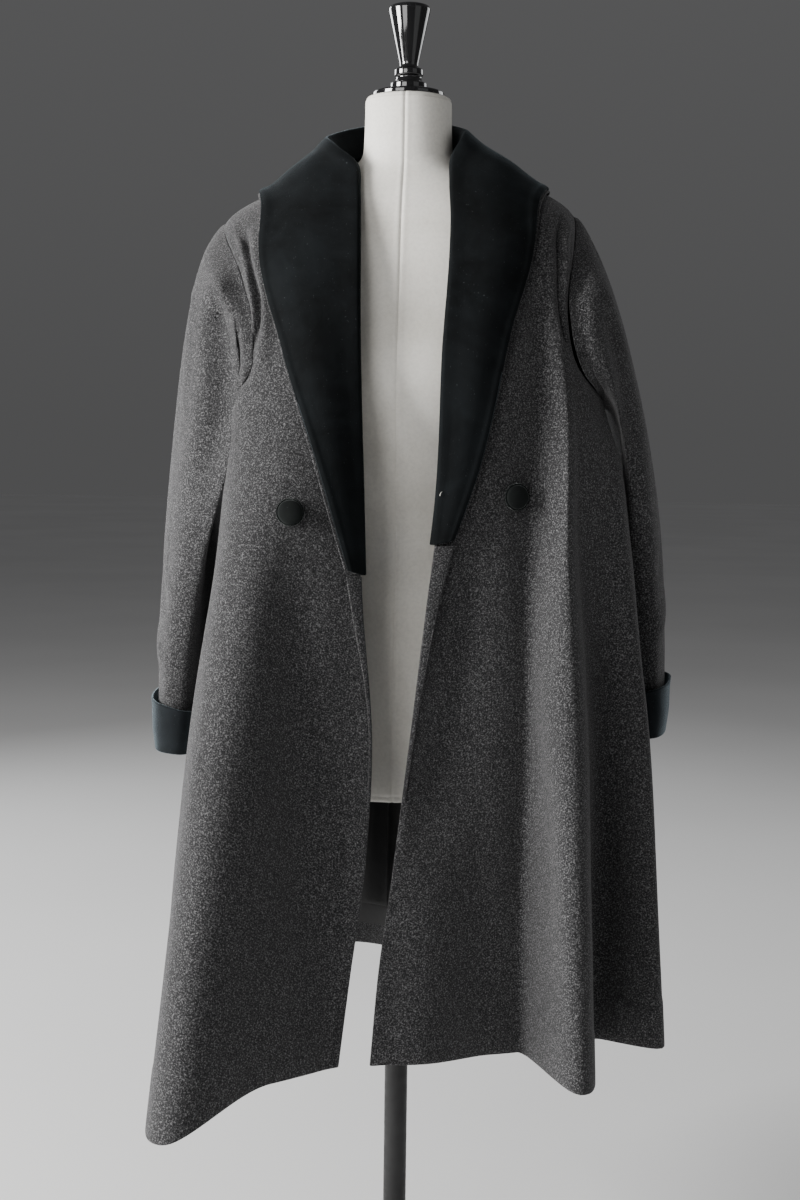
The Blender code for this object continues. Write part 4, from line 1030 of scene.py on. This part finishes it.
def buildThreadLoop():
    # a small sewn thread loop on the right lapel, near its turned edge: an upright half ring of round thread,
    # coloured pale as a painted highlight for the glint on it
    start = collarCloth[threadLoop["row"], threadLoop["columns"][0]]
    end = collarCloth[threadLoop["row"] - 1, threadLoop["columns"][1]]
    outwards = unit(np.cross(end - start, collarCloth[threadLoop["row"] - 8, 6] - start))
    outwards *= np.sign(-outwards[1])
    over = threadLoop["overrun"]
    bend = np.linspace(-over, np.pi + over, threadLoop["steps"])[:, None]
    rise = outwards * threadLoop["height"] * np.sin(bend)
    line = (start + end) / 2 + (start - end) / 2 * np.cos(bend) + rise
    along = unit(np.gradient(line, axis=0))
    side = unit(np.cross(along, outwards + along * 0.01 + np.array([0.02, 0.0, 0.05])))
    other = np.cross(along, side)
    turn = fullTurn(threadLoop["turns"])[..., None]
    ring = side[:, None] * np.cos(turn) + other[:, None] * np.sin(turn)
    points = line[:, None] + ring * threadLoop["radius"]
    points = np.concatenate((np.repeat(line[:1, None], threadLoop["turns"], axis=1), points,
                             np.repeat(line[-1:, None], threadLoop["turns"], axis=1)))
    around = np.linspace(0, 0.003, threadLoop["turns"] + 1)
    uv = np.stack(np.meshgrid(around, lengthsAlong(points, 0)), axis=-1)
    # the pale canvas colour is a painted highlight
    piece = meshFrom("lapelThreadLoop", len(points), threadLoop["turns"], points, uv, False, True, [canvas])
    carried(piece)


buildThreadLoop()
print("collar made")


facings = {
    "names": ("drop", "leftWidth", "rightWidth"),
    "rows": ((0.495, 0.0170, 0.0215), (0.560, 0.0100, 0.0130), (0.640, 0.0040, 0.0070),
             (0.740, 0.0030, 0.0040)),
    "top": {"left": 0.5215, "right": 0.4915}, "thickness": 0.0022, "gap": 0.0009, "belly": 0.0008,
    "fineRows": 120, "fineColumns": 12,
}


def buildFacing(side):
    # the wool strip that turns back over the front edge below the collar and tapers away
    table = columnsOf(facings["names"], facings["rows"])
    drop = np.linspace(facings["top"][side], table["drop"][-1], facings["fineRows"])[:, None]
    width = smoothCurve(drop[:, 0], table["drop"], table[side + "Width"])[:, None]
    steps = np.linspace(0, 1, facings["fineColumns"])[None, :]
    wide = width / (np.radians(1) * ringAt("halfWidth", drop))
    angle = edgeAngle(side, drop) + sideSign[side] * wide * steps
    base = bodyPoint(angle, drop + 0 * steps)
    normal = bodyNormal(angle, drop + 0 * steps)
    lift = facings["gap"] + facings["belly"] * np.sin(np.pi * steps) + facings["thickness"]
    points = base + normal * lift[..., None]
    piece = clothPanel("facing" + sideName[side] + "Wool", points, normal, facings["thickness"], [wool])
    sewn(piece, "facing_" + side)


buildFacing("left")
buildFacing("right")


buttons = {"radius": 0.0155, "height": 0.0095, "rimHeight": 0.34, "rimAt": 0.75, "foot": 0.55,
           "ringGroove": 0.0016, "ringAt": 0.52, "ringWidth": 0.045,
           "gathers": 17, "gatherDepth": 0.00035, "gatherAt": 0.78, "gatherWidth": 0.14,
           "rings": 36, "turns": 102}


def buildButton(node):
    # a velvet-covered dome on the solid button's own axis: a flattened hemisphere with a pressed ring, whose
    # rim carries small gathers and turns in underneath
    low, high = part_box(node)
    centre = np.array((low + high) / 2)
    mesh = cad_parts[node].data
    points = np.array([v.co for v in mesh.vertices])
    axes = np.linalg.svd(points - points.mean(axis=0))[2]
    axis = axes[2] * np.sign(-axes[2][1])
    side = unit(np.cross(axis, [0.0, 0.0, 1.0]))
    up = np.cross(side, axis)
    foot = centre + axis * ((points - centre) @ axis).min()
    rimAt, rimHeight = buttons["rimAt"], buttons["height"] * buttons["rimHeight"]
    t, turn = np.linspace(0, 1, buttons["rings"])[:, None], fullTurn(buttons["turns"])
    bend = t * np.pi * 0.5 / rimAt
    under = softStep(rimAt, 1.0, t)
    radius = buttons["radius"] * np.where(t < rimAt, np.sin(bend), 1 - (1 - buttons["foot"]) * under)
    share = buttons["rimHeight"]
    dome = buttons["height"] * (share + (1 - share) * np.cos(np.clip(bend, 0, np.pi / 2)))
    height = np.where(t < rimAt, dome, rimHeight * (1 - under))
    height = height - buttons["ringGroove"] * np.exp(-((t - buttons["ringAt"]) / buttons["ringWidth"]) ** 2)
    rim = np.exp(-((t - buttons["gatherAt"]) / buttons["gatherWidth"]) ** 2)
    gathered = 1 + np.sin(turn * buttons["gathers"] + 2 * np.sin(turn * 3))
    radius = radius - buttons["gatherDepth"] * rim * gathered
    place = (foot + side * (radius * np.cos(turn))[..., None] + up * (radius * np.sin(turn))[..., None]
             + axis * (height + 0 * turn)[..., None])
    place = np.concatenate((place, np.repeat(foot[None, None], buttons["turns"], axis=1)))
    uv = np.stack(np.meshgrid(np.linspace(0, 0.09, buttons["turns"] + 1), np.linspace(0, 0.02, len(place))),
                  axis=-1)
    name = node.replace("_", "") + "Velvet"
    # the dome takes the velvet that is painted lighter: painted light
    piece = meshFrom(name, len(place), buttons["turns"], place, uv, False, True, [buttonVelvet])
    carried(piece, node)


buildButton("button_left")
buildButton("button_right")
print("facings and buttons made")


form = {
    "names": ("z", "halfWidth", "depthFront", "depthBack", "middle"),
    "rows": (
        (1.487, 0.0495, 0.0490, 0.0490, 0.0000), (1.478, 0.0500, 0.0495, 0.0495, 0.0000),
        (1.440, 0.0510, 0.0500, 0.0510, 0.0000), (1.4190, 0.0544, 0.0515, 0.0560, 0.0010),
        (1.4047, 0.0706, 0.0536, 0.0670, 0.0020), (1.3868, 0.1084, 0.0640, 0.0820, 0.0040),
        (1.3605, 0.1565, 0.0770, 0.0960, 0.0050), (1.3210, 0.1810, 0.0890, 0.1060, 0.0050),
        (1.250, 0.1800, 0.1030, 0.1120, 0.0050), (1.170, 0.1720, 0.1160, 0.1050, 0.0040),
        (1.080, 0.1500, 0.0980, 0.0950, 0.0020), (0.990, 0.1300, 0.0840, 0.0880, 0.0000),
        (0.900, 0.1480, 0.0980, 0.1020, 0.0000), (0.810, 0.1700, 0.1120, 0.1200, 0.0000),
        (0.720, 0.1740, 0.1120, 0.1250, 0.0000), (0.686, 0.1680, 0.1060, 0.1200, 0.0000)),
    "columns": 256, "crowding": 0.93, "rowsBetween": 14, "topEdge": 0.005, "bottomEdge": 0.009,
    "seamDepth": 0.0008, "seamWidth": 0.0016, "seams": (0.0, 90.0, 180.0, 270.0),
    "besideShare": 0.35, "besideAt": 0.004, "besideWidth": 0.0022, "tight": -0.0006,
    "unevenness": 0.0005, "seed": 91, "lidShares": (0.3, 0.65, 1.0),
    # height, across, width, how far out, reach
    "wrinkles": ((0.992, -0.016, 0.0030, -0.0014, 0.030), (0.986, -0.012, 0.0035, 0.0010, 0.026),
                 (1.412, 0.000, 0.0050, -0.0006, 0.050)),
}


def buildForm():
    # ovals from the neck to the cut-off hips, with the canvas's sewn seams and a few slack wrinkles; the two
    # ends have rounded edges and flat lids. The columns crowd at the seams, four times round
    table = columnsOf(form["names"], form["rows"])
    knots = np.arange(len(table["z"]), dtype=float)
    at = np.linspace(0, knots[-1], (len(knots) - 1) * form["rowsBetween"] + 1)
    size = {name: smoothCurve(at, knots, table[name])[:, None] for name in form["names"]}
    share = np.linspace(0, 4, form["columns"], endpoint=False)[None, :]
    turn = np.pi / 2 * (share - form["crowding"] * np.sin(2 * np.pi * share) / (2 * np.pi))
    front = np.cos(turn) > 0
    depth = np.where(front, size["depthFront"], size["depthBack"])
    x = size["halfWidth"] * np.sin(turn)
    y = size["middle"] - depth * np.cos(turn)
    z = size["z"] + 0 * turn
    points = np.stack([x, y, z], axis=-1)
    normals = gridNormals(points, True)
    normals *= np.sign((normals[100] * (points[100] - points[100].mean(axis=0))).sum(-1).mean())
    relief = np.full(points.shape[:2], form["tight"])
    for seam in form["seams"]:
        away = (np.degrees(turn) - seam + 180) % 360 - 180
        metres = np.radians(away) * size["halfWidth"]
        relief -= form["seamDepth"] * np.exp(-(metres / form["seamWidth"]) ** 2)
        beside = (np.abs(metres) - form["besideAt"]) / form["besideWidth"]
        relief += form["besideShare"] * form["seamDepth"] * np.exp(-beside ** 2)
    for height, across, width, move, reach in form["wrinkles"]:
        bell = np.exp(-((z - height - 0.15 * (x - across)) / width) ** 2 - ((x - across) / reach) ** 2)
        relief += move * bell * front
    relief += form["unevenness"] * wander(np.degrees(turn) / 12 * np.ones_like(z), z * 30, form["seed"])
    points = points + normals * relief[..., None]
    edge = np.linspace(0, np.pi / 2, 7)[1:]

    def rounded(ring, inwards, size, way):
        # rings that turn the ring in over its edge, then flat ones to the middle
        middle = ring.mean(axis=0)
        start = ring.copy()
        start[:, 2] -= size * way
        rows = [ring + (middle - ring) * inwards * (1 - math.cos(a)) for a in edge]
        for row, a in zip(rows, edge):
            row[:, 2] = ring[:, 2] + (size * math.sin(a) - size) * way
        lid = [rows[-1] + (middle - rows[-1]) * s for s in form["lidShares"]]
        for row in lid:
            row[:, 2] = ring[:, 2]
        return np.array([start, *rows, *lid])

    top = rounded(points[0], form["topEdge"] / 0.05, form["topEdge"], 1)
    bottom = rounded(points[-1], form["bottomEdge"] / 0.15, form["bottomEdge"], -1)
    body = points[1:-1]
    body = body[(body[:, 0, 2] < top[0, 0, 2]) & (body[:, 0, 2] > bottom[0, 0, 2])]
    allRows = np.concatenate((top[::-1], body, bottom))
    ringLength = np.linalg.norm(np.roll(allRows, -1, axis=1) - allRows, axis=-1)
    u = np.concatenate(([0], np.cumsum(ringLength[len(allRows) // 2])))
    uv = np.stack(np.meshgrid(u, lengthsAlong(allRows, 0)), axis=-1)
    piece = meshFrom("formCanvas", len(allRows), allRows.shape[1], allRows, uv, False, True, [canvas])
    carried(piece, "torso")


buildForm()
print("form made")


hardware = {
    "plate": ((0.0000, 0.0080), (0.0300, 0.0080), (0.0302, 0.0068), (0.0390, 0.0064), (0.0410, 0.0050),
              (0.0410, 0.0006), (0.0404, 0.0000), (0.0000, 0.0000)),
    "finial": ((0.0000, 0.0960), (0.0160, 0.0960), (0.0225, 0.0935), (0.0240, 0.0900), (0.0165, 0.0560),
               (0.0108, 0.0300), (0.0110, 0.0262), (0.0165, 0.0230), (0.0165, 0.0170), (0.0145, 0.0140),
               (0.0160, 0.0095), (0.0210, 0.0075), (0.0210, 0.0000), (0.0000, 0.0000)),
    "pole": ((0.0000, 0.6594), (0.0138, 0.6594), (0.0138, 0.0000), (0.0000, 0.0000)),
    "base": ((0.0000, 0.0340), (0.0260, 0.0340), (0.0300, 0.0220), (0.1500, 0.0140), (0.1940, 0.0120),
             (0.2000, 0.0060), (0.2000, 0.0000), (0.0000, 0.0000)),
    "corner": 0.0011, "cornerSteps": 5, "turns": 96, "sharpFrom": 40,
}


def roundedProfile(points, radius, steps):
    # each inner corner becomes a short quadratic curve that starts and ends on its two sides
    line = np.array(points, dtype=float)
    found = [line[0]]
    for before, here, after in zip(line[:-2], line[1:-1], line[2:]):
        near = min(radius, 0.45 * np.linalg.norm(before - here), 0.45 * np.linalg.norm(after - here))
        a, b = here + unit(before - here) * near, here + unit(after - here) * near
        t = np.linspace(0, 1, steps)[:, None]
        found.extend((1 - t) ** 2 * a + 2 * t * (1 - t) * here + t * t * b)
    found.append(line[-1])
    return np.array(found)


def buildTurned(name, node, profile, material):
    # a profile of (radius, height) carried once round the upright axis, from the bottom of its solid
    line = roundedProfile(hardware[profile], hardware["corner"], hardware["cornerSteps"])
    bottom = max(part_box(node)[0].z, 0.0)
    turn = fullTurn(hardware["turns"])
    radius, height = line[:, :1], line[:, 1:]
    points = np.stack([radius * np.sin(turn), -radius * np.cos(turn), bottom + height + 0 * turn], axis=-1)
    u = np.linspace(0, 2 * np.pi * radius.max(), hardware["turns"] + 1)
    uv = np.stack(np.meshgrid(u, lengthsAlong(points, 0)), axis=-1)
    piece = meshFrom(name, len(points), hardware["turns"], points, uv, False, True, [material])
    piece.data.set_sharp_from_angle(angle=math.radians(hardware["sharpFrom"]))
    carried(piece, node)


buildTurned("neckPlateGloss", "neck_plate", "plate", gloss)
buildTurned("finialGloss", "finial", "finial", gloss)
buildTurned("poleSatin", "pole", "pole", satin)
buildTurned("standBaseSteel", "stand_base", "base", steel)
print("stand made")


studio = {
    "floorRadius": 26.0, "floorRings": 12, "floorTurns": 96, "floorDrop": 0.0002,
    "floorColour": (0.82, 0.82, 0.82), "worldColour": (0.74, 0.74, 0.75), "worldStrength": 0.14,
    "lights": (
        ("keyLeft", (-3.0, -1.45, 1.8), 1.4, 285.0, (1.0, 0.99, 0.975)),
        ("fillFront", (-1.3, -2.9, 1.7), 1.5, 34.0, (1.0, 0.99, 0.98)),
        ("fillRight", (2.8, -2.2, 1.8), 2.2, 5.0, (0.98, 0.99, 1.0)),
        ("behindLeft", (-2.2, 2.4, 2.2), 1.6, 52.0, (0.98, 0.99, 1.0)),
        ("behindRight", (2.4, 2.2, 2.0), 1.6, 20.0, (0.98, 0.99, 1.0))),
    "aim": (0.0, 0.0, 0.95), "skyStops": ((0.0, 0.80), (0.35, 1.0)),
}


def buildFloor():
    # a pale round floor just under the stand, wide enough to reach the horizon
    rings, turns = studio["floorRings"], studio["floorTurns"]
    turn, radius = fullTurn(turns), np.linspace(0, studio["floorRadius"], rings)[:, None]
    level = 0 * radius * turn - studio["floorDrop"]
    points = np.stack([radius * np.cos(turn), radius * np.sin(turn), level], axis=-1)
    uv = np.stack(np.meshgrid(np.linspace(0, 1, turns + 1), np.linspace(0, 1, rings)), axis=-1)
    material, tree, shader, add = freshMaterial("paleFloor")
    light = studio["floorColour"]
    slow = noise(add, onObject(add), 0.8, 2.0)
    colour = ramp(add, slow, ((0.35, grey(0.95, light)), (0.65, light)))
    tree.links.new(colour, shader.inputs["Base Color"])
    shader.inputs["Roughness"].default_value = 0.85
    meshFrom("studioFloor", rings, turns, points, uv, False, True, [material])


def buildSky():
    # soft even light from all round, a little darker below
    world = bpy.data.worlds.new("studioWorld")
    bpy.context.scene.world = world
    world.use_nodes = True
    nodes, links = world.node_tree.nodes, world.node_tree.links
    background = nodes["Background"]
    background.inputs["Strength"].default_value = studio["worldStrength"]
    way, upright, sky = (nodes.new(kind) for kind in ("ShaderNodeTexCoord", "ShaderNodeSeparateXYZ",
                                                      "ShaderNodeValToRGB"))
    for mark, (place, share) in zip(sky.color_ramp.elements, studio["skyStops"]):
        mark.position = place
        mark.color = (*grey(share, studio["worldColour"]), 1.0)
    links.new(way.outputs["Generated"], upright.inputs[0])
    links.new(upright.outputs["Z"], sky.inputs["Fac"])
    links.new(sky.outputs["Color"], background.inputs["Color"])


def buildLights():
    # square lamps aimed at the coat: a strong key from the left, weaker ones round it
    for name, place, size, power, colour in studio["lights"]:
        lamp = bpy.data.lights.new(name, "AREA")
        lamp.energy, lamp.size, lamp.color = power, size, colour
        holder = bpy.data.objects.new(name, lamp)
        bpy.context.scene.collection.objects.link(holder)
        holder.location = place
        way = Vector(studio["aim"]) - Vector(place)
        holder.rotation_euler = way.to_track_quat("-Z", "Y").to_euler()


cameraView = {"distance": 2.0, "height": 1.108, "azimuth": 5.0, "roll": 0.75, "focalPixels": 1700.0,
              "imageHeight": 1200.0, "horizonAbove": 170.0, "shiftPixels": 2.2, "filmHeight": 36.0}


def buildCamera():
    # the photograph's own view: a little from the right, 1.1 m up, tipped down so that the horizon is above
    # the middle
    azimuth, roll = math.radians(cameraView["azimuth"]), math.radians(cameraView["roll"])
    pitch = math.atan(cameraView["horizonAbove"] / cameraView["focalPixels"])
    right = Vector((math.cos(azimuth), math.sin(azimuth), 0.0))
    level = Vector((-math.sin(azimuth), math.cos(azimuth), 0.0))
    forward = level * math.cos(pitch) - Vector((0.0, 0.0, math.sin(pitch)))
    up = right.cross(forward)
    imageX = right * math.cos(roll) + up * math.sin(roll)
    imageY = -right * math.sin(roll) + up * math.cos(roll)
    eye = Vector((math.sin(azimuth), -math.cos(azimuth), 0.0)) * cameraView["distance"]
    eye.z = cameraView["height"]
    data = bpy.data.cameras.new("photoCamera")
    data.sensor_fit = "VERTICAL"
    data.sensor_height = cameraView["filmHeight"]
    data.lens = cameraView["focalPixels"] / cameraView["imageHeight"] * cameraView["filmHeight"]
    data.shift_x = -cameraView["shiftPixels"] / cameraView["imageHeight"]
    camera = bpy.data.objects.new("photoCamera", data)
    camera.matrix_world = Matrix(((imageX.x, imageY.x, -forward.x, eye.x),
                                  (imageX.y, imageY.y, -forward.y, eye.y),
                                  (imageX.z, imageY.z, -forward.z, eye.z), (0, 0, 0, 1)))
    bpy.context.scene.collection.objects.link(camera)
    bpy.context.scene.camera = camera


buildFloor()
buildSky()
buildLights()
buildCamera()
print("studio ready")
